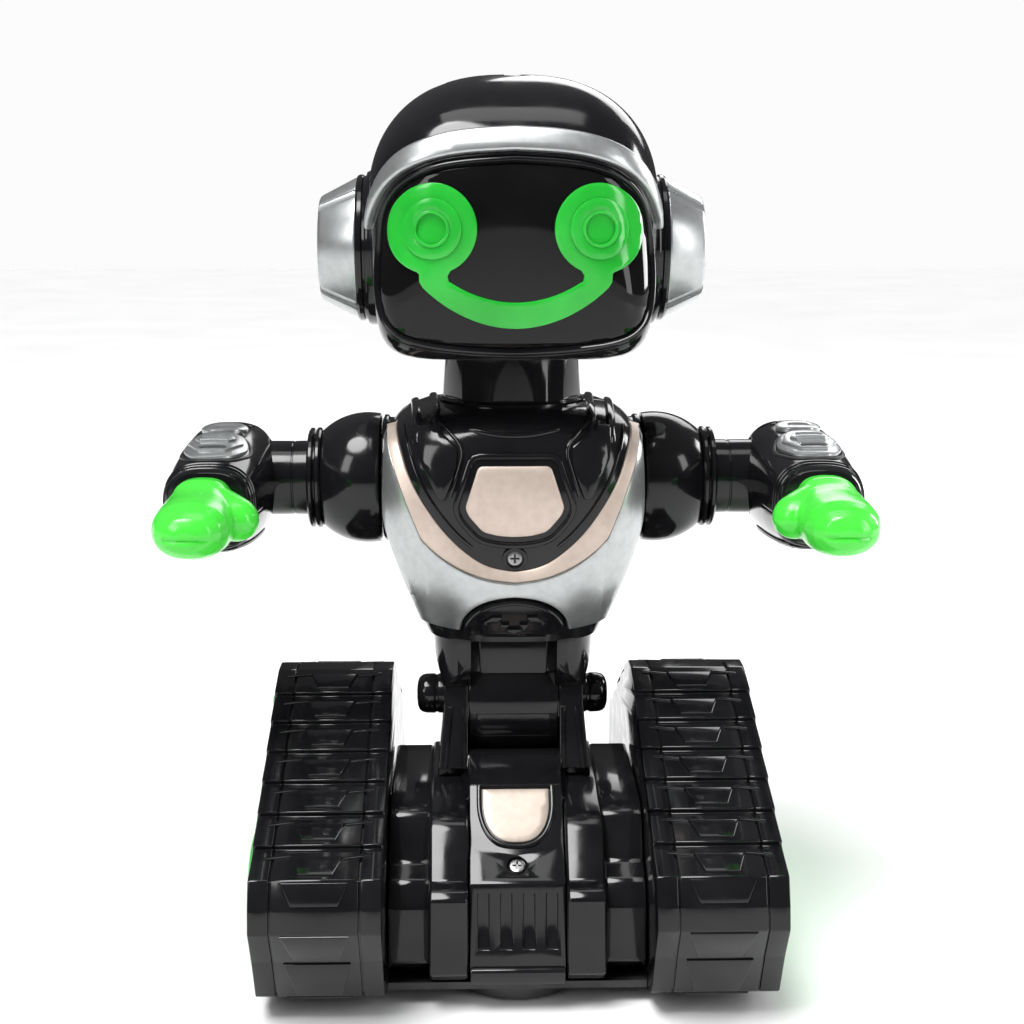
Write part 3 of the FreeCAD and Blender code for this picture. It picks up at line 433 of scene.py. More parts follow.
def without_slivers(tris, verts):
    """Swaps the long side of every flat triangle for the other diagonal it makes with its neighbour."""
    tris = [list(tri) for tri in tris]
    for _ in range(4):
        owners = {}
        for t, tri in enumerate(tris):
            for i in range(3):
                owners.setdefault(frozenset((tri[i], tri[(i + 1) % 3])), []).append(t)
        touched = set()
        for t, tri in enumerate(tris):
            if t in touched:
                continue
            sides = [(verts[tri[i]] - verts[tri[(i + 1) % 3]]).length for i in range(3)]
            i = sides.index(max(sides))
            a, c, b = tri[i], tri[(i + 1) % 3], tri[(i + 2) % 3]
            area = abs((verts[c] - verts[a]).cross(verts[b] - verts[a]))
            others = [o for o in owners[frozenset((a, c))] if o != t]
            if area > SLIVER_HEIGHT * sides[i] or len(others) != 1 or others[0] in touched:
                continue
            d = next(v for v in tris[others[0]] if v not in (a, c))
            tris[t], tris[others[0]] = [a, d, b], [d, c, b]
            touched.update((t, others[0]))
    return tris


def conform(name, outline, surface, low, high, edge=0.5, step=1.3, holes=()):
    """A plate with rounded edges that lies on a curved surface.

    surface(a, b, lift) gives the 3D point over (a, b); the plate runs from lift low to lift high.
    """
    outline = resampled(outline, step)
    if signed_area(outline) < 0:
        outline = outline[::-1]
    loops = [outline]
    for hole in holes:
        hole = resampled(hole, step)
        loops.append(hole if signed_area(hole) < 0 else hole[::-1])
    profile = [(0.0, low), (0.0, high - edge), (edge * 0.3, high - edge * 0.3), (edge, high)]
    points, faces, inner_loops = [], [], []
    for loop in loops:
        n = len(loop)
        rings = []
        for inset, lift in profile:
            ring = offset_loop(loop, inset) if inset else loop
            rings.append((len(points), ring))
            points += [surface(a, b, lift) for a, b in ring]
        for (i0, _), (i1, _) in zip(rings, rings[1:]):
            faces += [[i0 + i, i0 + (i + 1) % n, i1 + (i + 1) % n, i1 + i] for i in range(n)]
        inner_loops.append((rings[0], rings[-1]))
    for level, lift in ((0, low), (1, high)):
        flat, edges, start = [], [], []
        for pair in inner_loops:
            first, ring = pair[level]
            base = len(flat)
            flat += [Vector(p) for p in ring]
            start += [first + i for i in range(len(ring))]
            edges += [(base + i, base + (i + 1) % len(ring)) for i in range(len(ring))]
        count = len(flat)
        lows = [min(p[k] for p in outline) for k in (0, 1)]
        highs = [max(p[k] for p in outline) for k in (0, 1)]
        rings2d = [pair[level][1] for pair in inner_loops]
        a = lows[0] + step * 0.5
        while a < highs[0]:
            b = lows[1] + step * 0.5
            while b < highs[1]:
                if clear_inside((a, b), rings2d, step * 0.45):
                    flat.append(Vector((a, b)))
                b += step
            a += step
        out = geometry.delaunay_2d_cdt(flat, edges, [], 1, 1e-7)
        verts, tris, sources = out[0], out[2], out[3]
        loop_of = [n for n, pair in enumerate(inner_loops) for _ in pair[level][1]]
        index, where = {}, {}
        for k, source in enumerate(sources):
            known = [s for s in source if s < count]
            where[k] = loop_of[known[0]] if known else -1
            if known:
                index[k] = start[known[0]]
            else:
                index[k] = len(points)
                points.append(surface(verts[k].x, verts[k].y, lift))
        kept = []
        for tri in tris:
            same = len({where[k] for k in tri}) == 1 and where[tri[0]] > 0
            centre = sum((Vector(verts[k]) for k in tri), Vector((0, 0))) / len(tri)
            if not (same and not inside_rings(centre, rings2d)):
                kept.append(tri)
        for tri in without_slivers(kept, verts):
            ids = [index[k] for k in tri]
            faces.append(ids if level else ids[::-1])
    return raw(name, points, faces)


def inside_loop(p, loop):
    x, y = p[0], p[1]
    hit = False
    for (x0, y0), (x1, y1) in zip(loop, loop[1:] + loop[:1]):
        if (y0 > y) != (y1 > y) and x < (x1 - x0) * (y - y0) / (y1 - y0) + x0:
            hit = not hit
    return hit


def inside_rings(p, rings):
    return inside_loop(p, rings[0]) and not any(inside_loop(p, r) for r in rings[1:])


def clear_inside(p, rings, margin):
    if not inside_rings(p, rings):
        return False
    return all(math.dist(p, q) > margin for ring in rings for q in ring)


def along(loop_or_path, step, closed=False):
    """Even points along a path of 2D points."""
    path = list(loop_or_path) + ([loop_or_path[0]] if closed else [])
    lengths = [math.dist(a, b) for a, b in zip(path, path[1:])]
    count = max(2, round(sum(lengths) / step))
    result, run, k = [], 0.0, 0
    for i in range(count + (0 if closed else 1)):
        want = sum(lengths) * i / count
        while k < len(lengths) - 1 and run + lengths[k] < want:
            run += lengths[k]
            k += 1
        f = (want - run) / max(lengths[k], 1e-9)
        a, b = path[k], path[k + 1]
        result.append((a[0] + (b[0] - a[0]) * f, a[1] + (b[1] - a[1]) * f))
    return result


def smooth_path(path):
    """Two rounds of corner cutting, which leave the ends where they are."""
    for _ in range(2):
        new = [path[0]]
        for a, b in zip(path, path[1:]):
            new += [tuple(u * (1 - f) + v * f for u, v in zip(a, b)) for f in (0.25, 0.75)]
        path = new + [path[-1]]
    return path


def ridge(name, path, surface, width, height, closed=False, step=1.6, sunk=0.6):
    """A low rounded bead that follows a path on a surface."""
    path = along(path, step, closed)
    n = len(path)
    shape = [(-0.5, -sunk), (-0.5, height * 0.35), (-0.32, height * 0.85), (-0.1, height),
             (0.1, height), (0.32, height * 0.85), (0.5, height * 0.35), (0.5, -sunk)]
    sections = []
    for i, (a, b) in enumerate(path):
        if closed:
            p, q = path[i - 1], path[(i + 1) % n]
        else:
            p, q = path[max(i - 1, 0)], path[min(i + 1, n - 1)]
        side = Vector((-(q[1] - p[1]), q[0] - p[0])).normalized()
        taper = 1.0 if closed or 0 < i < n - 1 else 0.35
        sections.append([surface(a + side.x * s * width, b + side.y * s * width, max(h * taper, -sunk))
                         for s, h in shape])
    return swept(name, sections, closed)


def grown(loop, distance):
    loop = loop if signed_area(loop) > 0 else loop[::-1]
    return offset_loop(loop, -distance)


def symmetric(half):
    """Closed outline from the +X half, both ends of which lie on the middle line."""
    return [(a, b) for a, b in half] + [(-a, b) for a, b in half[::-1] if abs(a) > 1e-6]


SCREW_R = 2.1


def cross_screw(axis, place, direction):
    """Head of a cross-slot screw; place is the middle of its face."""
    profile = [(SCREW_R * f, h) for f, h in ((0.6, -3.0), (0.98, -1.2), (1, -0.5), (0.9, -0.12), (0.7, 0.0))]
    head = lathe(profile, axis, place, 28, direction, "screw")
    cutters = []
    for a, b in ((1.25, 0.27), (0.27, 1.25)):
        reach = (a, 0.8, b) if axis == "y" else (a, b, 0.8)
        cutters.append(brick(*[p + s * r for p, r in zip(place, reach) for s in (-1, 1)]))
    return cut(head, cutters)


def sided(side, points):
    """An outline drawn for the +X side, on the side asked for."""
    return [(side * a, b) for a, b in points]


def whole(half):
    """Left and right of a path whose last point is on the middle line, as one path."""
    return list(half) + [(-a, b) for a, b in half[-2::-1]]


def tube(name, path, radii, count=20):
    """A round tube along a 3D path."""
    sections = []
    for i, p in enumerate(path):
        q = path[min(i + 1, len(path) - 1)] - path[max(i - 1, 0)]
        q.normalize()
        u = q.cross(Vector((0, 1, 0)))
        if u.length < 1e-3:
            u = Vector((1, 0, 0))
        u.normalize()
        v = q.cross(u)
        sections.append([p + (u * math.cos(t) + v * math.sin(t)) * radii[i]
                         for t in [2 * math.pi * k / count for k in range(count)]])
    return swept(name, sections)


# ---- curved surfaces ----
def bulge(value, exponent):
    """A sine or cosine bent from a circle to a squarer shape."""
    return math.copysign(abs(value) ** exponent, value)


def row_at(rows, value):
    """A value kept inside a table of rows, and the row it comes after."""
    value = min(max(value, rows[0][0]), rows[-1][0])
    return value, max(i for i in range(len(rows) - 1) if rows[i][0] <= value)


def curve(rows, k, value):
    """The columns of a table on smooth curves, at a value between row k and the next."""
    p0, p1, p2, p3 = rows[max(k - 1, 0)], rows[k], rows[k + 1], rows[min(k + 2, len(rows) - 1)]
    span = p2[0] - p1[0]
    f = (value - p1[0]) / span
    result = []
    for c in range(1, len(p1)):
        m1 = (p2[c] - p0[c]) / (p2[0] - p0[0]) * span
        m2 = (p3[c] - p1[c]) / (p3[0] - p1[0]) * span
        result.append((2 * f ** 3 - 3 * f ** 2 + 1) * p1[c] + (f ** 3 - 2 * f ** 2 + f) * m1
                      + (-2 * f ** 3 + 3 * f ** 2) * p2[c] + (f ** 3 - f ** 2) * m2)
    return result


def last_inside(start, way, inside, reach):
    """Where a ray from inside a solid meets its surface."""
    low, high = 0.0, reach
    for _ in range(26):
        mid = (low + high) / 2
        if inside(start + way * mid):
            low = mid
        else:
            high = mid
    return start + way * low


def away_from(centre):
    return lambda p, normal: normal.dot(p - centre)


def lifted(outward, e=0.2):
    """Gives a surface function of two numbers a third one, the lift along its outward normal."""
    def wrap(surface):
        def place(a, b, lift):
            p = surface(a, b)
            normal = (surface(a + e, b) - surface(a - e, b)).cross(surface(a, b + e) - surface(a, b - e))
            if normal.length < 1e-9:
                return tuple(p)
            normal.normalize()
            if outward(p, normal) < 0:
                normal.negate()
            return tuple(p + normal * lift)
        return place
    return wrap


# ---- head ----
HEAD_Y, HEAD_Z = 3.0, 203.0         # middle of the head
HEAD_HALF_WIDTH, HEAD_HALF_DEPTH = 39.5, 47.0
HEAD_RISE, HEAD_DROP = 37.0, 38.7   # above and below HEAD_Z
NAPE_DROP = 43.0                    # the back is rounder below, and is cut off flat
CROWN_POWER = 2.4
FACE_POWER, BACK_POWER = 3.6, 2.6   # squareness of the plan


def mix(a, b, t):
    t = min(max(t, 0.0), 1.0)
    return a + (b - a) * t * t * (3 - 2 * t)


def head_section(z):
    """Half width, front and back half depths, and the two plan powers at a height."""
    if z >= HEAD_Z:
        up = min((z - HEAD_Z) / HEAD_RISE, 0.99999)
        s = (1 - up ** CROWN_POWER) ** (1 / CROWN_POWER)
        return HEAD_HALF_WIDTH * s, HEAD_HALF_WIDTH * s, HEAD_HALF_DEPTH * s, HEAD_HALF_DEPTH * s, FACE_POWER, BACK_POWER
    down = HEAD_Z - z
    front = (1 - min(down / HEAD_DROP, 0.9999) ** 8) ** 0.125
    back = (1 - (down / NAPE_DROP) ** 2.8) ** (1 / 2.8)
    depth = HEAD_HALF_DEPTH * front * (1 - 0.07 * (down / 39) ** 2)
    width = HEAD_HALF_WIDTH - 3.2 * (down / 39)
    squareness = mix(FACE_POWER, 6.5, down / 33)
    return width * front, width * back, depth, HEAD_HALF_DEPTH * back, squareness, BACK_POWER


def head_radius(angle, z):
    """Distance of the surface from the head's axis; angle 0 points forward, 90 degrees to +X."""
    wf, wb, df, db, nf, nb = head_section(z)
    s, c = abs(math.sin(angle)), abs(math.cos(angle))
    front = ((s / wf) ** nf + (c / df) ** nf) ** (-1 / nf)
    back = ((s / wb) ** nb + (c / db) ** nb) ** (-1 / nb)
    return mix(back, front, 0.5 + math.cos(angle) * 1.6)


def head_point(angle, z):
    r = head_radius(angle, z)
    return Vector((r * math.sin(angle), HEAD_Y - r * math.cos(angle), z))


def head_inside(p):
    if not HEAD_Z - 39.0 < p.z < HEAD_Z + HEAD_RISE - 0.01:
        return False
    dx, dy = p.x, HEAD_Y - p.y
    return math.hypot(dx, dy) < head_radius(math.atan2(dx, dy), p.z)


def head_hit(start, way):
    return last_inside(start, way, head_inside, 70.0)


on_head = lifted(away_from(Vector((0, HEAD_Y, HEAD_Z))), 0.15)
PLAN_Z = 197.0                          # height at which distances along the face are measured
plan_arc = [(0.0, 0.0)]                 # distance along the outline, angle
for step_index in range(1, 401):
    turn = math.pi * step_index / 400
    piece = (head_point(turn, PLAN_Z) - head_point(plan_arc[-1][1], PLAN_Z)).length
    plan_arc.append((plan_arc[-1][0] + piece, turn))


def interpolate(table, value, column=0):
    """The other column of a table of pairs, where one column has a value."""
    low, high = 0, len(table) - 1
    while high - low > 1:
        mid = (low + high) // 2
        low, high = (mid, high) if table[mid][column] < value else (low, mid)
    a, b = table[low], table[high]
    f = (value - a[column]) / max(b[column] - a[column], 1e-9)
    return a[1 - column] + (b[1 - column] - a[1 - column]) * f


def around(x):
    """Distance along the plan outline from the middle of the face to a half width x."""
    angle = math.asin(min(abs(x) / 52.0, 1.0))
    for _ in range(12):
        angle = math.asin(min(abs(x) / head_radius(angle, PLAN_Z), 1.0))
    return math.copysign(interpolate(plan_arc, angle, 1), x)


@on_head
def on_face(a, z):
    """a runs round the head from the middle of the face."""
    return head_point(math.copysign(interpolate(plan_arc, abs(a)), a), z)


@on_head
def on_crown(x, b):
    """b runs from front to back over the crown, in degrees from the top."""
    t = math.radians(b)
    return head_hit(Vector((x, HEAD_Y, HEAD_Z)), Vector((0, math.sin(t), math.cos(t))))


@on_head
def on_nape(x, z):
    return head_hit(Vector((x, HEAD_Y, z)), Vector((0, 1, 0)))


def nape_depth(x, z, lift):
    """The back of the head moved straight back or forward, and carried on below its rim."""
    p = head_hit(Vector((x, HEAD_Y, max(z, 166.0))), Vector((0, 1, 0)))
    return (x, p.y + lift, z)


def face_outline(half):
    """(x, z) points of the +X half, as a closed outline along the face."""
    right = [(around(x), z) for x, z in half]
    return right + [(-a, z) for a, z in right[::-1] if abs(a) > 1e-6]


def head_solid(name):
    """The whole head as one closed grid."""
    columns = 120
    heights = [HEAD_Z - 38.6 + 38.6 * (1 - math.cos(math.pi / 2 * (k + 0.35) / 26)) for k in range(26)]
    heights += [HEAD_Z + HEAD_RISE * math.sin(math.pi / 2 * k / 30) ** (2 / CROWN_POWER)
                for k in range(1, 30)]
    points, faces = [], []
    for z in heights:
        points += [tuple(head_point(2 * math.pi * i / columns, z)) for i in range(columns)]
    for j in range(len(heights) - 1):
        for i in range(columns):
            k = (i + 1) % columns
            faces.append([j * columns + i, j * columns + k, (j + 1) * columns + k, (j + 1) * columns + i])
    bottom, top = len(points), len(points) + 1
    points += [(0, HEAD_Y, HEAD_Z - 39.2), (0, HEAD_Y, HEAD_Z + HEAD_RISE)]
    last = (len(heights) - 1) * columns
    for i in range(columns):
        k = (i + 1) % columns
        faces += [[k, i, bottom], [last + i, last + k, top]]
    return raw(name, points, faces)


SEAM = [(2.6, 150.0), (2.6, 170.7), (-9.0, 226.0), (5.7, 235.6), (5.7, 260.0)]
SEAM_GAP = 0.18                         # half the gap between the shells


def seam_half(side):
    shifted = [(y + side * SEAM_GAP, z) for y, z in SEAM]
    return prism(shifted + [(side * 90, 260.0), (side * 90, 150.0)], -60, 60, "x")


STRIPE_ENDS = {0.0: (-19.0, 59.0), -20.0: (-22.0, 56.0), 20.0: (-22.0, 56.0)}   # x: front, back in degrees
STRIPE_HALF = 2.0


def stripe_outline(x, r):
    """A long slot with round ends that runs back over the crown."""
    front, back = STRIPE_ENDS[x]
    per_degree = 0.72                   # mm along the crown
    half_turn = [math.pi * i / 10 for i in range(11)]
    return ([(x + r * math.cos(t), front - r * math.sin(t) / per_degree) for t in half_turn]
            + [(x - r * math.cos(t), back + r * math.sin(t) / per_degree) for t in half_turn])


FACE_HALF = [
    (0.0, 216.0), (12.0, 215.4), (21.0, 214.1), (28.5, 210.9), (33.0, 205.5), (34.9, 198.0),
    (35.0, 184.0), (33.6, 176.5), (30.0, 172.0), (23.0, 169.9), (12.0, 168.8), (0.0, 168.4),
]
NAPE_HALF = [(0.0, 187.6), (6.5, 186.6), (12.0, 183.0), (17.5, 176.0), (22.0, 168.5), (26.0, 160.5),
             (0.0, 160.5)]


def head_pieces():
    """Rear shell and front frame: the same head, cut along the seam and grooved for the stripes."""
    face = face_outline(smooth_path(FACE_HALF))
    nape = symmetric(smooth_path(NAPE_HALF))
    rear, front = head_solid("head_rear"), head_solid("head_front")
    grooves = [conform("groove", stripe_outline(x, STRIPE_HALF + 0.35), on_crown, -0.9, 2.0, 0.1, 2.6)
               for x in STRIPE_ENDS]
    groove_copies = [added(g.name, g.data.copy()) for g in grooves]
    hollow = conform("hollow", nape, nape_depth, -3.6, 6.0, 0.1, 2.6)
    screw_well = prism(circle(0, 194.0, 2.6, 24), 46.5, 60, "y")
    cut(rear, [seam_half(1)], "INTERSECT")
    cut(rear, grooves + [hollow, screw_well])
    dress(bevel(rear, 0.35, 2, 40), "black_shell", "head", ["head_rear_shell"])
    cut(front, [seam_half(-1)], "INTERSECT")
    window = conform("window", face, on_face, -2.2, 4.0, 0.1, 2.6)
    cut(front, groove_copies + [window])
    dress(bevel(front, 0.35, 2, 40), "black_shell", "head", ["head_front_frame"])


BAND_UPPER = [
    (0, 224.6), (12, 224.1), (22, 222.6), (31, 219.4), (38, 214.2), (43.5, 208.4), (48, 203.6), (51.3, 201.0),
]
BAND_LOWER = [
    (0, 218.7), (12, 218.2), (21, 216.9), (29.5, 214.0), (36.0, 209.6), (41.5, 204.6), (46, 200.8),
    (50.4, 198.8),
]
EYE, EYE_R = (21.3, 199.4), 11.5


def smile_half():
    """Right half of the light guide, from the middle of the chin side to the middle of the lip side."""
    lower = [(31.7 * math.sin(t), 205.8 - 31.7 * math.cos(t))
             for t in [math.radians(4 * i) for i in range(13)]]
    upper = [(29.8 * math.sin(t), 210.6 - 29.8 * math.cos(t)) for t in
             [math.radians(34.5 - 34.5 * i / 10) for i in range(11)]]
    return (lower + [(24.3, 186.0), (24.4, 188.0)] + arc(*EYE, EYE_R, -72, 246, 44)
            + [(17.4, 187.6), (17.2, 186.2)] + upper)


def face_pieces():
    """Face plate in its frame, the light guide with its rings, and the band over the brow."""
    face = face_outline(smooth_path(FACE_HALF))
    plate = conform("face_plate", grown(face, -0.12), on_face, -2.0, -0.1, 0.5, 1.7)
    dress(plate, "face_gloss", "head", ["face_plate"])
    rims = [ridge("rim", grown(face, 0.75), on_face, 1.3, 1.0, True),
            ridge("rim", grown(face, 2.1), on_face, 0.8, 0.45, True)]
    dress(join(rims, "face_rim"), "black_shell", "head")
    smile = symmetric([(around(x), z) for x, z in smile_half()])
    guide = [conform("smile", smile, on_face, -0.4, 0.55, 0.3, 1.2)]
    for side in (-1, 1):
        centre = (side * around(EYE[0]), EYE[1])
        guide.append(conform("iris", circle(*centre, 7.7, 56), on_face, 0.3, 1.15, 0.25, 1.2,
                             [circle(*centre, 4.4, 40)]))
        guide.append(conform("rim", circle(*centre, 4.7, 48), on_face, 0.3, 1.5, 0.2, 1.2,
                             [circle(*centre, 3.9, 40)]))
    assemble(guide, "face_light_guide", "green_clear", "head")
    band = symmetric(smooth_path(BAND_UPPER) + [(52.3, 199.6)] + smooth_path(BAND_LOWER[::-1]))
    dress(conform("brow_band", band, on_face, -0.5, 1.6, 0.7, 1.6), "silver_paint", "head", ["brow_band"], 60)


def stripe_pieces():
    """Silver stripes in the crown's grooves; the middle one has a slot near its back end."""
    stripes = []
    for x, (_, back) in STRIPE_ENDS.items():
        slot = [(1.25 * math.cos(t), back - 8.5 + 5.2 * math.sin(t)) for t in
                [2 * math.pi * i / 24 for i in range(24)]]
        stripes.append(conform("stripe", stripe_outline(x, STRIPE_HALF), on_crown, -1.4, -0.15, 0.3, 1.4,
                               [] if x else [slot]))
    assemble(stripes, "head_stripes", "silver_paint", "head")


NAPE_RIM_OUTER = [(0, 191.2), (8, 190.2), (14.5, 186.4), (20.0, 179.0), (25.5, 169.5), (29.5, 164.9)]
NAPE_RIM_INNER = [(0, 188.3), (7, 187.4), (12.8, 183.6), (18.2, 176.4), (23.2, 168.2), (25.6, 164.9)]


def nape_pieces():
    """Arched rim over the hollow at the nape, with a screw above it."""
    outer, inner = smooth_path(NAPE_RIM_OUTER), smooth_path(NAPE_RIM_INNER)
    arch = whole(outer[::-1])[::-1] + whole(inner[::-1])
    dress(conform("nape_rim", arch, on_nape, -1.0, 1.1, 0.8, 1.5), "black_shell", "head")
    dress(cross_screw("y", (0, 46.9, 194.0), 1), "screw_steel", "head", ["head_screws"])


def ear_notch(profile, degrees, side):
    """A cutter whose outline (radius, x) lies in a plane through the ears' axis, turned to an angle."""
    t = math.radians(degrees)
    return slab("notch", *[[(side * h, EAR_Y + r * math.sin(t) + w * math.cos(t),
                             EAR_Z + r * math.cos(t) - w * math.sin(t)) for r, h in profile]
                             for w in (-1.7, 1.7)])


def ear_pieces():
    """Stepped ring, faceted cup with four notches, and a slotted disc on each side."""
    rings, cups = [], []
    ring_profile = [(16, 30), (21.6, 32), (21.6, 39.6), (21.2, 40.4), (20.3, 40.6), (20.1, 41.2),
                    (20.5, 41.6), (20.5, 42.6), (20.1, 43.2), (17, 43.4)]
    cup_profile = [(15, 43.0), (19.3, 43.0), (19.6, 43.3), (19.5, 43.9), (14.9, 52.8), (14.4, 53.5),
                   (13.8, 53.8), (13.3, 53.7), (13.1, 53.2)]
    disc_profile = [(12.4, 52.6), (12.9, 52.8), (12.9, 53.6), (12.6, 53.9), (12.2, 54.0)]
    notch = [(18.9, 42.0), (18.9, 43.9), (13.9, 53.6), (16.5, 56.0), (24.0, 44.0), (24.0, 42.0)]
    for side in (-1, 1):
        rings.append(lathe(ring_profile, "x", EARS, 96, side))
        cone = lathe(cup_profile, "x", EARS, 96, side)
        cut(cone, [ear_notch(notch, angle, side) for angle in (-38, 38, 142, 218)])
        disc = lathe(disc_profile, "x", EARS, 96, side)
        cut(disc, [brick(side * 53.4, side * 56, EAR_Y - 0.25, EAR_Y + 0.25, EAR_Z - 14, EAR_Z + 14)])
        cups += [bevel(cone, 0.3, 2, 30), bevel(disc, 0.1, 1, 50)]
    assemble(rings, "ear_rings", "black_shell", "head")
    assemble(cups, "ear_cups", "silver_paint", "head")


def neck_piece():
    """Tapered neck column with flat panels let into it."""
    r = 20.6
    profile = [(12, 149.0), (r, 149.0), (r, 150.8), (19.7, 151.6), (18.9, 163.7), (12, 164.3)]
    neck = lathe(profile, "z", (0, NECK_Y, 0), 96)
    cutters = []
    for angle in (0, 62, 118, 180, 242, 298):
        t = math.radians(angle)
        cutters.append(turned(brick(-6.2, 6.2, -1.7, 1.7, 151.9, 166), angle, "Z",
                              (math.sin(t) * r, NECK_Y - math.cos(t) * r, 0)))
    dress(bevel(cut(neck, cutters), 0.4, 2, 30), "black_shell", "torso", ["neck_post"])


head_pieces()
face_pieces()
stripe_pieces()
nape_pieces()
ear_pieces()
neck_piece()


# ---- tracks and side panels ----
TRACK_TOP_FRONT, TRACK_TOP_REAR = (-2.0, 72.0), (6.0, 72.0)
TRACK_NOSE, TRACK_TAIL = (-78.5, 38.5), (70.0, 38.0)
TRACK_FRONT_END = [(-81.8, 33.0), (-83.0, 27.0), (-77.0, 17.0), (-71.0, 4.5), (-62.0, 0.0)]
TRACK_REAR_END = [(60.0, 0.0), (66.5, 5.5), (71.5, 15.0), (73.0, 27.0)]
TRACK_MIDDLE = (TRACK_IN + TRACK_OUT) / 2
PAD_LIFT = 1.5                          # how far a tread pad stands out at its lower end


def shingles(start, end, count):
    """Overlapping tread pads down a slope: each stands proud at its lower end."""
    (y0, z0), (y1, z1) = start, end
    length = math.dist(start, end)
    out = 1 if y1 < y0 else -1
    ly, lz = PAD_LIFT * out * (z1 - z0) / length, PAD_LIFT * out * (y0 - y1) / length
    points = []
    for i in range(count):
        points.append((y0 + (y1 - y0) * i / count, z0 + (z1 - z0) * i / count))
        f = (i + 1) / count
        points.append((y0 + (y1 - y0) * f + ly, z0 + (z1 - z0) * f + lz))
    return points


PANEL_OUTLINE = [
    (4.2, 67.0), (-4.9, 65.5), (-68.7, 39.4), (-76.0, 23.5), (-70.5, 11.0), (-60.0, 4.5),
    (57.0, 4.5), (66.5, 14.0), (69.0, 30.0), (64.2, 39.6),
]
PANEL_LOOP = rounded(PANEL_OUTLINE, 5.0)


def over_facet(side, start, end):
    """Places points above a flat facet of the track: u runs across the track, v down the facet."""
    d = Vector((end[0] - start[0], end[1] - start[1])).normalized()
    normal = Vector((d.y, -d.x))
    if normal.dot(Vector((start[0] + 5.0, start[1] - 30.0))) < 0:
        normal = -normal

    def place(u, v, lift):
        middle = Vector(start) + d * v + normal * lift
        return (side * TRACK_MIDDLE + side * u, middle.x, middle.y)
    return place


def pad_relief(side, start, end):
    """A raised lug with slanted sides in the middle of a pad, and a slanting bar on each side of it."""
    place, length = over_facet(side, start, end), math.dist(start, end)
    top, edge, bottom = length * 0.28, length * 0.18, length * 0.86
    lug = [(-6.6, top), (6.6, top), (4.4, bottom), (-4.4, bottom)]
    pieces = [conform("lug", lug, place, -0.6, 0.75, 0.5, 30)]
    for u0, u1 in ((-13.6, -6.6), (6.6, 13.6)):
        bar = [(u0, edge), (u1, top), (u1, top + 0.9), (u0, edge + 0.9)]
        pieces.append(conform("bar", bar, place, -0.6, 0.4, 0.25, 30))
    return pieces


GROOVE_U, GROOVE_HALF, GROOVE_DEPTH = 11.2, 0.35, 0.8      # grooves that run round the tracks


def track(side, name):
    """Track shell: a stepped body with two grooves round it, a rim for the side panel and the pads."""
    front = shingles(TRACK_TOP_FRONT, TRACK_NOSE, 7)
    rear = shingles(TRACK_TOP_REAR, TRACK_TAIL, 5)
    outline = rounded(front + TRACK_FRONT_END + TRACK_REAR_END + rear[::-1], 0.5, 3)
    if signed_area(outline) < 0:
        outline = outline[::-1]
    half = (TRACK_OUT - TRACK_IN) / 2
    steps = [(-half, 0.35), (-half + 0.12, 0.1), (-half + 0.4, 0.0)]     # distance across, inset
    for u in (-GROOVE_U, GROOVE_U):
        steps += [(u - GROOVE_HALF - 0.2, 0.0), (u - GROOVE_HALF, 0.12),
                  (u - GROOVE_HALF * 0.6, GROOVE_DEPTH),
                  (u + GROOVE_HALF * 0.6, GROOVE_DEPTH), (u + GROOVE_HALF, 0.12),
                  (u + GROOVE_HALF + 0.2, 0.0)]
    steps.append((half - 1.6, 0.0))
    pieces = [swept("track", [[(side * (TRACK_MIDDLE + u), y, z) for y, z in
                               (offset_loop(outline, inset) if inset else outline)] for u, inset in steps]),
              conform("rim", outline, lambda a, b, x: (side * x, a, b), TRACK_OUT - 1.6, TRACK_OUT, 0.4, 40,
                      [grown(PANEL_LOOP, 0.3)])]
    for start, end in [*zip(front[0::2], front[1::2]), *zip(rear[0::2], rear[1::2])]:
        pieces += pad_relief(side, start, end)
    nose, tail = [front[-1]] + TRACK_FRONT_END, [rear[-1]] + TRACK_REAR_END[::-1]
    for start, end in [*zip(nose, nose[1:]), *zip(tail, tail[1:])]:
        pieces += end_relief(side, start, end)
    assemble(pieces, name, "black_shell", "base")


def end_relief(side, start, end):
    """The larger pads on the ends carry a flat raised plate with slanted sides."""
    length = math.dist(start, end)
    if length < 7:
        return []
    plate = [(-8.6, 0.6), (8.6, 0.6), (6.0, length - 0.8), (-6.0, length - 0.8)]
    return [conform("plate", plate, over_facet(side, start, end), -0.5, 0.5, 0.4, 30)]


def disc_x(profile, side, y, z, count=64):
    """A turned piece on a side panel; heights are measured out from the panel plate."""
    return lathe([(r, TRACK_OUT + h) for r, h in profile], "x", (0, y, z), count, side)


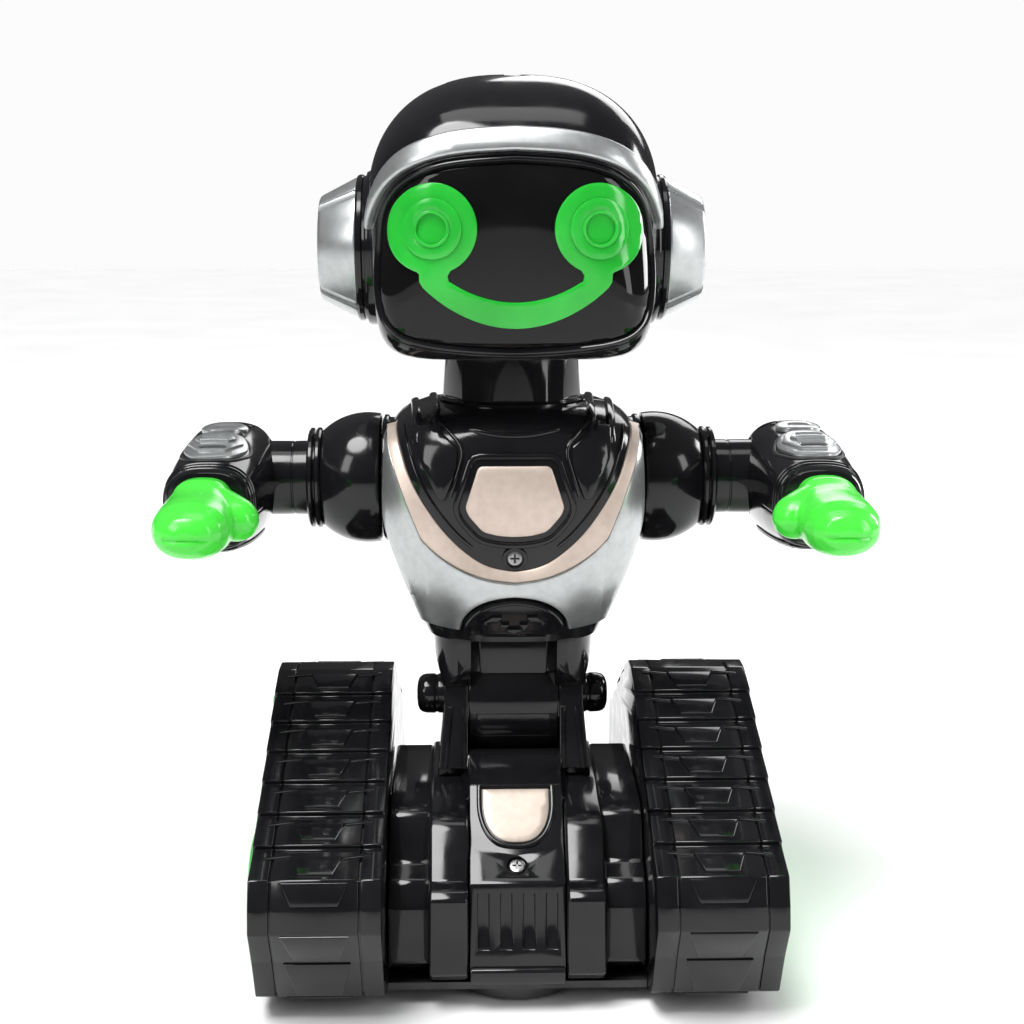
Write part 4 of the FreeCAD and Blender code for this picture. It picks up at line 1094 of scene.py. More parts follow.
def wheel_relief(side, y, z):
    """Panel wheel: bevelled outer ring, a recessed band of vents, and a raised hub disc with studs."""
    ring = [(18.3, -1.6), (18.3, 1.0), (17.9, 1.5), (17.0, 1.9), (15.4, 1.9), (14.8, 1.6), (14.4, 0.4)]
    pieces = [disc_x(ring, side, y, z, 96), disc_x([(15, -1.2), (14.6, 0.9), (9.0, 0.9)], side, y, z)]
    for i in range(12):
        t = 2 * math.pi * (i + 0.5) / 12
        radial, across = Vector((math.cos(t), math.sin(t))), Vector((-math.sin(t), math.cos(t)))
        loop = [radial * a + across * b
                for a, b in ((10.2, -1.15), (14.2, -1.75), (14.2, 1.75), (10.2, 1.15))]
        pieces.append(bevel(slab("vane", *[
            [(side * (TRACK_OUT + h), y + p.x, z + p.y) for h, p in zip(heights, loop)]
            for heights in ((0.3, 0.3, 0.3, 0.3), (1.2, 1.75, 1.75, 1.2))]), 0.22, 2, 30))
    hub = [(9.4, 0.2), (9.4, 1.4), (9.0, 1.85), (8.2, 2.0), (7.6, 2.0), (7.2, 1.7), (7.0, 1.6)]
    pieces += [disc_x(hub, side, y, z),
               disc_x([(3.6, 1.0), (3.6, 1.9), (3.2, 2.1), (1.6, 2.15)], side, y, z, 40)]
    for i in range(5):
        t = math.radians(90 + 72 * i)
        pieces.append(disc_x([(0.8, 1.4), (0.8, 1.9), (0.5, 2.1)], side,
                             y + 5.3 * math.cos(t), z + 5.3 * math.sin(t), 20))
    return pieces


def cog_relief(side, y, z):
    """Scalloped gear: rounded teeth on a thick rim, a dished web and a small hub."""
    teeth, root, tip = 12, 12.3, 14.8
    loop = []
    for i in range(teeth * 12):
        t = 2 * math.pi * i / (teeth * 12)
        r = root + (tip - root) * (0.5 + 0.5 * bulge(math.cos(teeth * t), 0.45))
        loop.append((y + r * math.cos(t), z + r * math.sin(t)))
    low, high = sorted((side * (TRACK_OUT - 1), side * (TRACK_OUT + 1.7)))
    rim = cut(prism(loop, low, high, "x"), [prism(circle(y, z, 9.6, 56), low - 5, high + 5, "x")])
    return [bevel(rim, 0.45, 2, 30), disc_x([(10.2, -1.0), (10.2, 0.5), (9.0, 0.25), (5.2, 0.2)], side, y, z),
            disc_x([(4.6, -0.5), (4.5, 1.2), (4.1, 1.6), (3.0, 1.7), (2.7, 1.4)], side, y, z, 40)]


def engine_relief(side):
    """Engine block between the wheels: a sloping upper cover over a row of louvres and a small cap."""
    def raised(loop, low, high, width=0.5):
        return block(loop, side * (TRACK_OUT + low), side * (TRACK_OUT + high), "x", width, 2, 30)

    cover = [(31.0, 38.6), (-32.0, 32.3), (-33.2, 26.2), (-21.0, 25.4), (-17.5, 22.6), (20.0, 26.4),
             (30.3, 30.0)]
    pieces = [raised([(32.0, 39.6), (-33.0, 33.2), (-35.5, 12.4), (28.3, 10.4)], -1.0, 0.9),
              raised(cover, 0.2, 1.7, 0.7)]
    for i in range(8):
        y = -19.0 + 5.6 * i
        top = 21.8 + (y + 19.0) * 0.09
        pieces.append(raised([(y - 0.6, 12.6), (y + 2.6, 12.6), (y + 3.0, top), (y - 0.2, top)], 0.2, 1.6))
    for r, y, z, inner in ((2.4, -27.0, 19.0, 1.2), (2.0, 27.0, 17.5, 1.0)):
        pieces.append(disc_x([(r, 0.4), (r, 1.4), (r - 0.4, 1.7), (inner, 1.7)], side, y, z, 32))
    return pieces


def side_panel(side, name):
    """Clear side panel: a plate with wheels, gear and engine in relief, and a lip round its edge."""
    pieces = [block(PANEL_LOOP, side * (TRACK_OUT - 1.5), side * (TRACK_OUT + 0.1), "x", 0.4, 2, 40)]
    for y, z in ((51.5, 23.9), (-51.5, 23.8)):
        pieces += wheel_relief(side, y, z)
    pieces += cog_relief(side, 5.1, 51.0) + engine_relief(side)
    lip = along(PANEL_LOOP, 2.0, True)
    inside = 1 if signed_area(PANEL_OUTLINE) > 0 else -1
    sections = []
    for i, (y, z) in enumerate(lip):
        p, q = lip[i - 1], lip[(i + 1) % len(lip)]
        t = Vector((q[0] - p[0], q[1] - p[1])).normalized()
        inward = Vector((-t.y, t.x)) * inside
        sections.append([(side * (TRACK_OUT + h), y + inward.x * w, z + inward.y * w) for w, h in
                         ((0.15, -0.5), (0.15, 0.45), (0.5, 0.8), (1.0, 0.8), (1.4, 0.45), (1.4, -0.5))])
    assemble(pieces + [swept("lip", sections, True)], name, "green_clear", "base")


for track_side, side_name in ((1, "left"), (-1, "right")):
    track(track_side, "track_shell_" + side_name)
    side_panel(track_side, "side_panel_" + side_name)


# ---- deck, waist post and bumper ----
CORE_HALF = 12.6
CORE_PROFILE = [
    (6.0, 4.0), (-61.0, 4.0), (-66.6, 9.5), (-62.4, 31.2), (-52.6, 37.7), (-39.8, 50.2), (-26.4, 54.0),
    (6.0, 47.0),
]
FENDER_PROFILE = [
    (6.0, 4.0), (-62.0, 4.0), (-67.4, 8.0), (-66.6, 28.4), (-64.2, 30.4), (-60.6, 30.9), (-52.6, 41.8),
    (-50.2, 44.0), (-46.4, 45.2), (-38.0, 46.2), (-30.0, 47.4), (6.0, 47.4),
]
POD_PROFILE = [
    (6.0, 4.0), (-56.0, 4.0), (-62.0, 9.0), (-60.4, 24.0), (-56.4, 29.6), (-50.6, 32.4), (-44.4, 43.6),
    (-41.0, 45.4), (-24.0, 46.4), (6.0, 46.4),
]


def on_slope(a, v, lift):
    """Over the badge slope of the nose: v runs down it from the ledge."""
    return (a, -39.8 - 0.7155 * v - 0.6986 * lift, 50.2 - 0.6986 * v + 0.7155 * lift)


def on_lower_slope(a, v, lift):
    """Over the gentler slope below the badge."""
    return (a, -52.6 - 0.8333 * v - 0.5527 * lift, 37.7 - 0.5527 * v + 0.8333 * lift)


def u_plate(half, top, tip, count=18):
    """Outline square at the top and round at the tip, along the slope."""
    side = [(half * math.cos(t) ** 0.75, top + (tip - top) * (0.28 + 0.72 * math.sin(t)))
            for t in [math.pi / 2 * i / count for i in range(count)]]
    return [(half, top)] + side + [(0.0, tip)] + [(-a, b) for a, b in side[::-1]] + [(-half, top)]


def nose_pieces():
    """Nose core with its slots, fenders and pods beside it, the badge's bezel and the badge."""
    core = prism(CORE_PROFILE, -CORE_HALF, CORE_HALF, "x", "core")
    slots = [prism([(x - 1.5, 28.6), (x + 1.5, 28.6), (x + 1.5, 14.2), (x - 1.5, 14.2)], -70, -61.6, "y")
             for x in (-9.0, -3.0, 3.0, 9.0)]
    for slot in slots:
        reshaped(slot, lambda x, y, z: (x, y if y < -65 else -61.4 - (31.2 - z) * 0.195, z))
    well = slab("well", *[[on_lower_slope(x, v, lift) for x, v in circle(0, 6.0, 2.6, 24)]
                          for lift in (-1.2, 3.0)])
    cut(core, slots + [well])
    pieces = [bevel(core, 0.5, 2, 25)]
    pieces += both(block(FENDER_PROFILE, 12.9, 23.2, "x", 0.9, 3))
    pieces += both(block(POD_PROFILE, 23.0, 34.2, "x", 1.0, 2))
    wing = [(8.0, 53.6), (10.6, 53.6), (15.4, 47.6), (13.6, 45.6), (8.0, 45.6)]
    ramp = reshaped(prism(wing, -40.0, -26.6, "y", "wing"),
                    lambda x, y, z: (x, y, z - 0.28 * max(0.0, -26.6 - y)))
    pieces += both(bevel(ramp, 0.5, 2, 25))
    lip = [(-60.0, 9.8), (-67.6, 9.8), (-68.2, 8.8), (-67.2, 5.2), (-60.0, 5.2)]
    pieces.append(block(lip, -12.4, 12.4, "x", 0.4))
    bezel = u_plate(10.6, -0.1, 18.9)
    pieces.append(conform("bezel", bezel, on_slope, -0.6, 0.8, 0.6, 2.0, [u_plate(9.2, 1.2, 17.3)]))
    badge = conform("deck_badge", u_plate(9.0, 1.4, 17.1), on_slope, -0.5, 0.5, 0.5, 1.6)
    dress(badge, "rose_silver", "base", ["deck_badge"])
    # painted shade: the deck badge takes the darker copy of the warm silver
    badge.data.materials[0] = SHADED_DECK_SILVER
    return pieces


def deck_rear_pieces():
    """Rear deck with the speaker dish and cone, the slotted rear face, side rails and gussets."""
    profile = [(-6.0, 4.0), (63.4, 4.0), (63.6, 39.6), (61.4, 42.2), (27.4, 42.2), (24.4, 47.0), (-6.0, 47.0)]
    body = prism(profile, -21.2, 21.2, "x", "rear")
    dish = lathe([(11.6, 44.5), (11.6, 42.1), (11.2, 41.5), (8.8, 39.6)], "z", (0, 50.4, 0), 64)
    cut(body, [dish])
    pieces = [bevel(body, 0.8, 2, 28)]
    pieces.append(lathe([(8.7, 38.8), (8.5, 40.2), (7.9, 40.6), (7.3, 40.3), (6.9, 39.9), (6.2, 40.5),
                         (4.4, 41.8), (2.2, 42.5), (0.5, 42.7)], "z", (0, 50.4, 0), 64))
    pieces.append(conform("rim", circle(0, 50.4, 13.2, 64), lambda a, b, lift: (a, b, 42.2 + lift), -0.8, 0.7,
                          0.5, 30, [circle(0, 50.4, 11.8, 64)]))
    plate = [(-20.2, 41.0), (-12.6, 41.0), (-10.6, 38.8), (10.6, 38.8), (12.6, 41.0), (20.2, 41.0),
             (20.2, 27.4), (18.4, 25.6), (18.4, 18.6), (-18.4, 18.6), (-18.4, 25.6), (-20.2, 27.4)]
    face = prism(plate, 62.4, 64.8, "y", "face")
    slots = [prism([(x - 0.95, 35.4), (x + 0.95, 35.4), (x + 0.95, 24.6), (x - 0.95, 24.6)], 63.9, 67, "y")
             for x in (-13.0, -6.5, 0.0, 6.5, 13.0)]
    slots.append(prism(circle(5.6, 21.6, 2.3, 24), 63.9, 67, "y"))
    cut(face, slots)
    pieces.append(bevel(face, 0.35, 2, 30))
    for side in (-1, 1):
        rail = [(side * 21.2, 4.0), (side * 34.2, 4.0), (side * 34.2, 20.6), (side * 31.6, 22.2),
                (side * 21.2, 22.2)]
        pieces.append(block(rail, -6.0, 61.8, "y", 0.7))
        gusset = [(24.0, 22.0), (8.0, 40.0), (-2.0, 45.0), (-2.0, 22.0)]
        pieces.append(block(gusset, side * 20.5, side * 33.4, "x", 0.8))
    return pieces


CHEEK_FRONT = [(-24.6, 47.0), (-26.4, 50.2), (-22.4, 56.0), (-19.8, 66.0)]
CHEEK_REAR = [(17.2, 66.0), (22.2, 56.0), (24.6, 47.0)]


def flare(z):
    """How far a cheek's outer face stands out at a height."""
    return 1.9 * max(0.0, 66.0 - z) / 19.0


def waist_pieces():
    """Round-topped cheeks that flare towards the deck, the plates under the hinge and their window frames."""
    top = arc(WAIST_Y, WAIST_Z, 18.2, 8, 172, 20)
    cheek = reshaped(prism(CHEEK_FRONT + top[::-1] + CHEEK_REAR, 12.95, 19.6, "x", "cheek"),
                     lambda x, y, z: (x + (flare(z) if x > 18 else 0.0), y, z))
    cut(cheek, [lathe([(6.7, 18.9), (6.7, 24.0)], "x", WAIST, 48)])
    pieces = both(bevel(cheek, 0.8, 3, 28))
    pieces += [lathe([(2.0, 12.64), (17.0, 12.64), (17.0, 13.4), (2.0, 13.4)], "x", WAIST, 64, side)
               for side in (-1, 1)]
    pieces.append(block([(-26.3, 47.0), (-26.9, 50.4), (-24.8, 53.6), (-19.4, 53.6), (-18.4, 47.0)],
                        -13.4, 13.4, "x", 0.6))
    pieces.append(block([(17.4, 47.0), (17.4, 53.6), (22.6, 53.6), (25.4, 47.0)], -13.4, 13.4, "x", 0.6))
    for front, sign in ((CHEEK_FRONT[1:], -1), (CHEEK_REAR[::-1], 1)):
        edge = [(y + sign * 0.05, z) for y, z in front]
        path = along(resampled(edge, 1.5, False), 0.8)
        bead = ((-0.7, -0.6), (-0.7, 0.35), (-0.3, 0.7), (0.3, 0.7), (0.7, 0.35), (0.7, -0.6))
        for side in (-1, 1):
            for x in (13.9, 17.8):
                pieces.append(swept("frame", [[(side * (x + (flare(z) if x > 15 else 0.0) + dx),
                                                y + sign * dy, z)
                                               for dx, dy in bead] for y, z in path]))
    foot = [(-20.9, 46.4), (20.9, 46.4), (20.9, 48.6), (-20.9, 48.6)]
    pieces.append(block(foot, 23.0, 26.4, "y", 0.5))
    return pieces


def pin_pieces():
    """Round-ended heads on the waist pin, with a groove behind the rim and a cross in the face."""
    profile = [(4.0, 19.0), (5.75, 19.0), (5.8, 21.4), (5.5, 21.7), (5.5, 22.2), (5.8, 22.5), (5.75, 25.0),
               (5.45, 26.2), (4.7, 27.1), (3.4, 27.6), (1.2, 27.8)]
    knobs = []
    for side in (-1, 1):
        knob = lathe(profile, "x", WAIST, 64, side)
        cut(knob, [brick(side * 26.9, side * 30, WAIST_Y - a, WAIST_Y + a, WAIST_Z - b, WAIST_Z + b)
                   for a, b in ((2.6, 0.5), (0.5, 2.6))])
        knobs.append(bevel(knob, 0.15, 1, 45))
    assemble(knobs, "waist_pin", "black_shell", "base")


def bumper_pieces():
    profile = [(62.6, 2.0), (66.0, 1.4), (68.4, 3.0), (68.8, 15.2), (66.6, 17.7), (62.6, 17.7)]
    bumper = prism(profile, -34.3, 34.3, "x", "bumper")
    grooves = [prism([(x - 2.6, 15.0), (x - 1.5, 15.0), (x + 2.6, 4.2), (x + 1.5, 4.2)], 68.0, 71, "y")
               for x in (-24.0, -12.0, 0.0, 12.0, 24.0)]
    cut(bumper, grooves)
    return bevel(bumper, 0.45, 2, 25)


assemble(nose_pieces() + deck_rear_pieces(), "base_upper_shell", "black_shell", "base")
assemble(waist_pieces(), "waist_post", "black_shell", "base")
dress(bumper_pieces(), "black_shell", "base")
pin_pieces()
screws = [turned(cross_screw("z", (0, 0, 0), 1), 33.6, "X", on_lower_slope(0, 6.0, -0.2)),
          cross_screw("y", (5.6, 64.4, 21.6), 1)]
screws += [cross_screw("z", (x, y, -0.2), -1) for x, y in ((-31, -50), (31, -50), (-12, 59), (12, 59))]
dress(join(screws, "deck_screws"), "screw_steel", "base", ["base_screws"])


# ---- torso ----
TORSO_ROWS = [   # height, half width, front y, back y, roundness power
    (86.0, 24.4, -24.0, 19.0, 3.0), (90.5, 26.4, -25.6, 20.2, 3.0), (98.0, 29.4, -29.4, 23.0, 3.1),
    (106.0, 32.4, -31.6, 25.0, 3.2), (115.0, 35.0, -32.8, 26.5, 3.3), (123.0, 35.9, -33.4, 27.0, 3.4),
    (132.0, 35.8, -33.0, 27.0, 3.5), (139.0, 35.4, -31.2, 26.6, 3.5), (144.0, 34.2, -29.0, 25.8, 3.2),
    (147.5, 31.4, -26.4, 25.4, 2.9), (149.6, 27.6, -22.8, 25.0, 2.6), (150.2, 24.8, -19.6, 23.4, 2.6),
]
TORSO_LOW, TORSO_HIGH = TORSO_ROWS[0][0], TORSO_ROWS[-1][0]
TORSO_SEAM_Y, TORSO_SEAM_GAP = 2.0, 0.15
on_torso = lifted(away_from(Vector((0, 0, 122.0))))


def torso_row(z):
    """Half width, middle y, half depth and power of the torso at a height, smoothly interpolated."""
    z, k = row_at(TORSO_ROWS, z)
    half, front, back, power = curve(TORSO_ROWS, k, z)
    return half, (front + back) / 2, (back - front) / 2, power


def torso_point(angle, z, grow=0.0):
    """angle runs from the front (-Y) towards +X."""
    half, middle, depth, power = torso_row(z)
    return Vector(((half + grow) * bulge(math.sin(angle), 2 / power),
                   middle - (depth + grow) * bulge(math.cos(angle), 2 / power), z))


def across_torso(x, z, sign):
    half, middle, depth, power = torso_row(z)
    r = min(abs(x) / half, 0.985)
    return Vector((math.copysign(r * half, x), middle + sign * depth * (1 - r ** power) ** (1 / power), z))


@on_torso
def on_chest(x, z):
    return across_torso(x, z, -1)


@on_torso
def on_back(x, z):
    return across_torso(x, z, 1)


def torso_inside(p):
    if not TORSO_LOW <= p.z <= TORSO_HIGH:
        return False
    half, middle, depth, power = torso_row(p.z)
    return abs(p.x / half) ** power + abs((p.y - middle) / depth) ** power <= 1


@on_torso
def on_shoulder(x, degrees):
    """Over the shoulder from front (negative) to back, as seen from an axis inside the chest."""
    t = math.radians(degrees)
    return last_inside(Vector((x, 0.0, 128.0)), Vector((0, math.sin(t), math.cos(t))), torso_inside, 60.0)


def torso_solid(name):
    """The whole torso as one closed grid, with its bottom and top edges drawn in a little."""
    columns = 112
    levels = [(TORSO_LOW, -1.0)] + [(TORSO_LOW + 64.2 * k / 46, 0.0) for k in range(46)]
    levels += [(150.0, 0.0), (TORSO_HIGH, -1.0)]
    rings = [[torso_point(2 * math.pi * i / columns, z, grow) for i in range(columns)] for z, grow in levels]
    rings[0] = [Vector((p.x, p.y, 85.6)) for p in rings[0]]
    return swept(name, rings)


def socket_cutters():
    return [lathe([(17.7, 27.0), (17.7, 60)], "x", SHOULDER, 72, side) for side in (-1, 1)]


V_EDGE = [
    (32.4, 146.4), (30.9, 140.0), (28.0, 132.0), (23.6, 124.6), (17.7, 116.8), (10.2, 110.4), (4.8, 108.3),
    (0.0, 107.9),
]
CREASE = [(33.9, 145.8), (32.9, 140.0), (30.0, 130.8), (24.6, 117.0)]
CREASE_LOW = [(24.6, 117.0), (20.5, 112.8), (14.8, 109.0), (8.0, 106.2), (0.0, 105.2)]
ARMOUR_OUTER = [
    (34.4, 143.0), (34.8, 136.0), (35.2, 127.0), (35.2, 120.0), (33.9, 115.2), (30.4, 105.4), (27.2, 97.0),
    (25.0, 91.2),
]
STRIP_SHAPE = [   # share of the inner and of the outer edge, lift
    (1, 0, -0.6), (1, 0, 0.45), (0.9, 0.1, 0.75), (0.1, 0.9, 1.75), (0, 1, 1.6), (0, 1, -0.6),
]
BELLY_ARCH = [(14.6, 90.4), (14.2, 93.4), (12.4, 96.4), (9.2, 98.8), (5.0, 100.2), (0.0, 100.7)]


def chest_pieces():
    """Dresses the armour, the strip along its collar and the badge; returns the trims of the front shell."""
    crease = smooth_path(CREASE)[:-1] + smooth_path(CREASE_LOW)
    arch = smooth_path(BELLY_ARCH)
    outline = symmetric(crease[::-1] + smooth_path(ARMOUR_OUTER) + arch)
    front = whole([(a * 0.985, b - 0.5) for a, b in smooth_path(CREASE_LOW)]) + [(-22.6, 91.8)]
    front += [(a, b + 0.4) for a, b in whole(sided(-1, arch))] + [(22.6, 91.8)]
    armour = [conform("armour", outline, on_chest, -0.6, 1.7, 0.9, 1.5),
              conform("armour_front", front, on_chest, 1.2, 2.0, 0.3, 1.5)]
    dress(join(armour, "armour"), "silver_paint", "torso", ["chest_armour"])

    inner, outer = along(whole(smooth_path(V_EDGE)), 1.4), along(whole(crease), 1.4)
    count = min(len(inner), len(outer))
    inner, outer = (along(p, sum(math.dist(a, b) for a, b in zip(p, p[1:])) / count) for p in (inner, outer))
    strip = [[on_chest(a * f + c * g, b * f + d * g, lift) for f, g, lift in STRIP_SHAPE]
             for (a, b), (c, d) in zip(inner, outer)]
    dress(swept("collar_strip", strip), "rose_silver", "torso")

    badge = whole([(9.7, 136.6), (13.3, 125.6), (12.4, 123.4), (8.6, 119.0), (4.4, 117.9), (0.0, 117.6)])
    dress(conform("chest_badge", rounded(badge, 1.4), on_chest, -0.4, 0.9, 0.6, 1.6), "rose_silver", "torso",
          ["chest_badge"])
    trims = [ridge("bezel", rounded(grown(badge, 2.5), 2.2), on_chest, 1.7, 0.95, True)]
    facet = [(26.2, 146.0), (22.0, 147.2), (15.2, 141.3), (15.4, 136.0), (18.6, 127.4), (20.4, 127.6),
             (25.6, 138.0)]
    lapel = [(22.6, 148.8), (18.6, 146.2), (14.8, 142.6), (14.0, 140.8), (14.1, 138.6), (17.3, 128.4)]
    border = [(30.2, 146.0), (28.7, 140.4), (25.7, 132.4), (21.3, 125.2), (16.0, 118.6), (11.6, 114.6)]
    for side in (-1, 1):
        trims += [conform("facet", rounded(sided(side, facet), 0.9), on_chest, -0.5, 1.0, 0.7, 1.6),
                  ridge("lapel", sided(side, lapel), on_chest, 1.0, 0.75),
                  ridge("border", smooth_path(sided(side, border)), on_chest, 1.0, 0.6)]
    trims.append(ridge("collar", [(a, 144.4 + 0.012 * a * a) for a in range(-12, 13, 2)], on_chest, 1.3, 0.7))
    trims.append(conform("boss", circle(0, 111.6, 3.4, 32), on_chest, -0.5, 0.8, 0.4, 1.4,
                         [circle(0, 111.6, 2.4, 24)]))
    return trims


def belly_pieces():
    """Half-round belly: a raised crescent rim over a plate with a small stepped block."""
    arch = smooth_path([(14.2, 88.6), (13.8, 93.0), (12.0, 96.0), (9.0, 98.2), (5.0, 99.6), (0.0, 100.1)])
    steps = [(8.6, 88.8), (9.2, 93.6), (6.0, 95.6), (3.4, 95.6), (3.4, 93.2), (1.4, 93.2), (1.4, 91.6)]
    return [conform("belly", whole(arch), on_chest, -0.6, 1.3, 0.6, 1.5),
            ridge("belly_rim", whole([(a * 0.93, b - 0.6) for a, b in arch]), on_chest, 1.8, 2.3, False, 1.4),
            conform("belly_block", symmetric(steps), on_chest, 0.5, 2.4, 0.5, 1.4)]


def back_pieces():
    """Straps over the shoulders, flaps, spine lines, panel, ribs, hose hub and screw bosses."""
    trims = []
    flap = [(31.6, 142.0), (33.0, 128.0), (31.6, 116.0), (26.0, 104.0), (17.0, 95.6), (10.0, 92.6)]
    spine = [(12.4, 141.0), (14.0, 132.0), (11.0, 126.0), (8.6, 120.6)]
    for side in (-1, 1):
        for x in (22.0, 27.4):
            trims.append(ridge("strap", [(side * (x + 0.02 * d), d) for d in range(-62, 64, 4)],
                               on_shoulder, 2.3, 0.9, False, 2.4))
        trims += [ridge("flap", smooth_path(sided(side, flap)), on_back, 1.3, 0.9),
                  ridge("spine", smooth_path(sided(side, spine)), on_back, 1.2, 0.7)]
    plate = [(10.4, 94.6), (12.6, 104.6), (8.4, 108.4), (-8.4, 108.4), (-12.6, 104.6), (-10.4, 94.6)]
    trims.append(conform("back_plate", rounded(plate, 1.5), on_back, -0.5, 1.1, 0.6, 1.8))
    for z in (97.0, 101.2):
        trims.append(block([(22.4, z), (34.6, z + 0.2), (34.6, z + 2.2), (22.4, z + 2.0)],
                           -13.0, 13.0, "x", 0.5))
    for z in (111.0, 124.0):
        trims += both(block([(22.0, z), (32.0, z + 0.4), (32.0, z + 5.0), (22.0, z + 5.4)], 13.4, 19.0))
    hub = [(6.6, 24.0), (6.6, 31.4), (6.1, 32.4), (5.2, 32.8), (4.6, 32.6), (4.2, 32.0), (3.4, 32.2),
           (2.9, 33.4), (2.3, 33.9), (1.0, 34.1)]
    trims.append(lathe(hub, "y", (0, 0, 118.0), 48))
    trims += both(conform("screw_boss", circle(25.0, 128.0, 3.3, 32), on_back, -0.5, 0.9, 0.4, 1.4,
                          [circle(25.0, 128.0, 2.35, 24)]))
    return trims


def hose_pieces():
    """Corrugated hoses from behind the neck down to the hub between the canisters."""
    hoses = []
    for side in (-1, 1):
        path, radii = [], []
        for f in [i / 99 for i in range(100)]:
            x = 15.8 - 12.8 * f ** 1.6
            y = 24.6 + 7.4 * math.sin(math.pi * min(f * 1.25, 1.0) * 0.5) - 1.2 * max(0.0, f - 0.85) * 6
            path.append(Vector((side * x, y, 148.6 - 26.8 * f)))
            radii.append(2.75 + 0.42 * bulge(math.cos(math.pi * 13 * f), 0.6))
        hoses.append(tube("hose", path, radii))
    assemble(hoses, "back_hoses", "black_matte", "torso")


BOOSTER_X, BOOSTER_Y, CAN_R = 18.0, 37.0, 9.6


def booster_pieces():
    """Canisters: a slotted nozzle, a stepped collar and a domed shell with a plate and a strap."""
    nozzle = [(5.4, 89.6), (6.6, 89.4), (7.4, 88.0), (7.8, 88.2), (7.9, 89.0), (9.05, 104.2), (9.05, 105.8)]
    collar = [(7, 104.8), (10.1, 104.8), (10.5, 105.3), (10.5, 106.4), (9.9, 106.9), (9.9, 107.5),
              (10.3, 108.0), (10.2, 108.9), (7, 109.2)]
    shell = [(6.0, 108.4), (9.3, 108.6), (9.55, 110.0), (CAN_R, 119.0), (9.5, 126.8),
             (9.5, 127.6), (9.1, 127.9), (9.1, 128.5), (9.5, 128.8)]
    shell += [(9.5 * math.cos(math.radians(a)), 129.2 + 9.4 * math.sin(math.radians(a)))
              for a in range(6, 86, 8)]
    shell += [(1.7, 138.6), (1.6, 139.2), (1.2, 139.5)]
    plate = rounded([(-2.6, 111.2), (2.6, 111.2), (2.6, 117.4), (-2.6, 117.4)], 0.8)
    cans = []
    for side in (-1, 1):
        middle = (side * BOOSTER_X, BOOSTER_Y, 0)

        def around_can(t, r, z):
            return (middle[0] + r * math.sin(t), middle[1] + r * math.cos(t), z)

        def on_can(a, b, lift):
            return around_can(a / CAN_R, CAN_R + lift, b)

        slots = [turned(brick(-0.75, 0.75, -1.2, 2.0, 90.6, 101.6), -angle, "Z",
                        around_can(math.radians(angle), 8.1, 0)) for angle in (-64, -32, 0, 32, 64)]
        cans += [bevel(cut(lathe(nozzle, "z", middle, 72), slots), 0.3, 2, 35),
                 lathe(collar, "z", middle, 72), lathe(shell, "z", middle, 72),
                 conform("plate", plate, on_can, -0.6, 0.8, 0.4, 1.2),
                 ridge("strap", [(a, 123.0) for a in range(-14, 15, 2)], on_can, 2.0, 0.6, False, 1.6)]
    assemble(cans, "jetpack_boosters", "black_shell", "torso")


def bushing_pieces():
    """Round collar as wide as the dome of the arm beside it."""
    profile = [(12.0, 24.0), (17.6, 24.0), (17.6, 35.0), (18.2, 35.4), (18.4, 35.9), (18.3, 36.6),
               (17.4, 37.0), (12.0, 37.0)]
    assemble([lathe(profile, "x", SHOULDER, 96, side) for side in (-1, 1)], "shoulder_bushings",
             "black_shell", "torso")


BARREL_R = 18.3


def hip_pieces():
    """Hinge barrel with its pads, and the hip blocks and panel that hang round it."""
    barrel = [(13.7, 86.4), (-16.3, 86.4)] + arc(WAIST_Y, WAIST_Z, BARREL_R, 145, 395, 60)
    pieces = [block(barrel, -12.6, 12.6, "x", 0.5)]
    hip = [(19.8, 86.4), (-24.2, 86.4), (-23.8, 81.0), (-22.4, 76.4), (-20.0, 72.6)]
    hip += arc(WAIST_Y, WAIST_Z, 18.9, 157, 23, 28) + [(16.4, 72.6), (18.6, 77.4)]
    plan = [(22.6 * bulge(math.cos(t), 0.6), -2.2 + 22.2 * bulge(math.sin(t), 0.6))
            for t in [math.radians(6 * i + 3) for i in range(60)]]
    for side in (-1, 1):
        hip_block = prism(hip, side * 12.0, side * 22.6, "x", "hip")
        pieces.append(bevel(cut(hip_block, [prism(plan, 60.0, 90.0, "z")], "INTERSECT"), 1.0, 3, 40))
    panel = rounded([(-10.2, 84.6), (10.2, 84.6), (9.4, 74.6), (-9.4, 74.6)], 1.0)
    pieces.append(conform("hip_panel", panel, lambda a, b, lift: (a, -16.3 - lift, b), -0.5, 1.0, 0.5, 30))

    def on_barrel(a, b, lift):
        t = math.radians(b)
        return (a, WAIST_Y - (BARREL_R + lift) * math.cos(t), WAIST_Z - (BARREL_R + lift) * math.sin(t))

    for low, high in ((2, 18), (24, 40), (140, 156), (162, 178)):
        pad = [(-10.6, low), (10.6, low), (10.6, high), (-10.6, high)]
        pieces.append(conform("barrel_pad", pad, on_barrel, -0.5, 0.3, 0.25, 3.0))
    return pieces


def torso_half(name, side):
    """The part of the torso in front of the seam (side -1) or behind it, with room for the arms."""
    edge = TORSO_SEAM_Y + side * TORSO_SEAM_GAP
    half = cut(torso_solid(name), [prism([(side * 80, 60), (edge, 60), (edge, 170), (side * 80, 170)],
                                         -60, 60, "x")],
               "INTERSECT")
    return bevel(cut(half, socket_cutters()), 0.35, 2, 50)


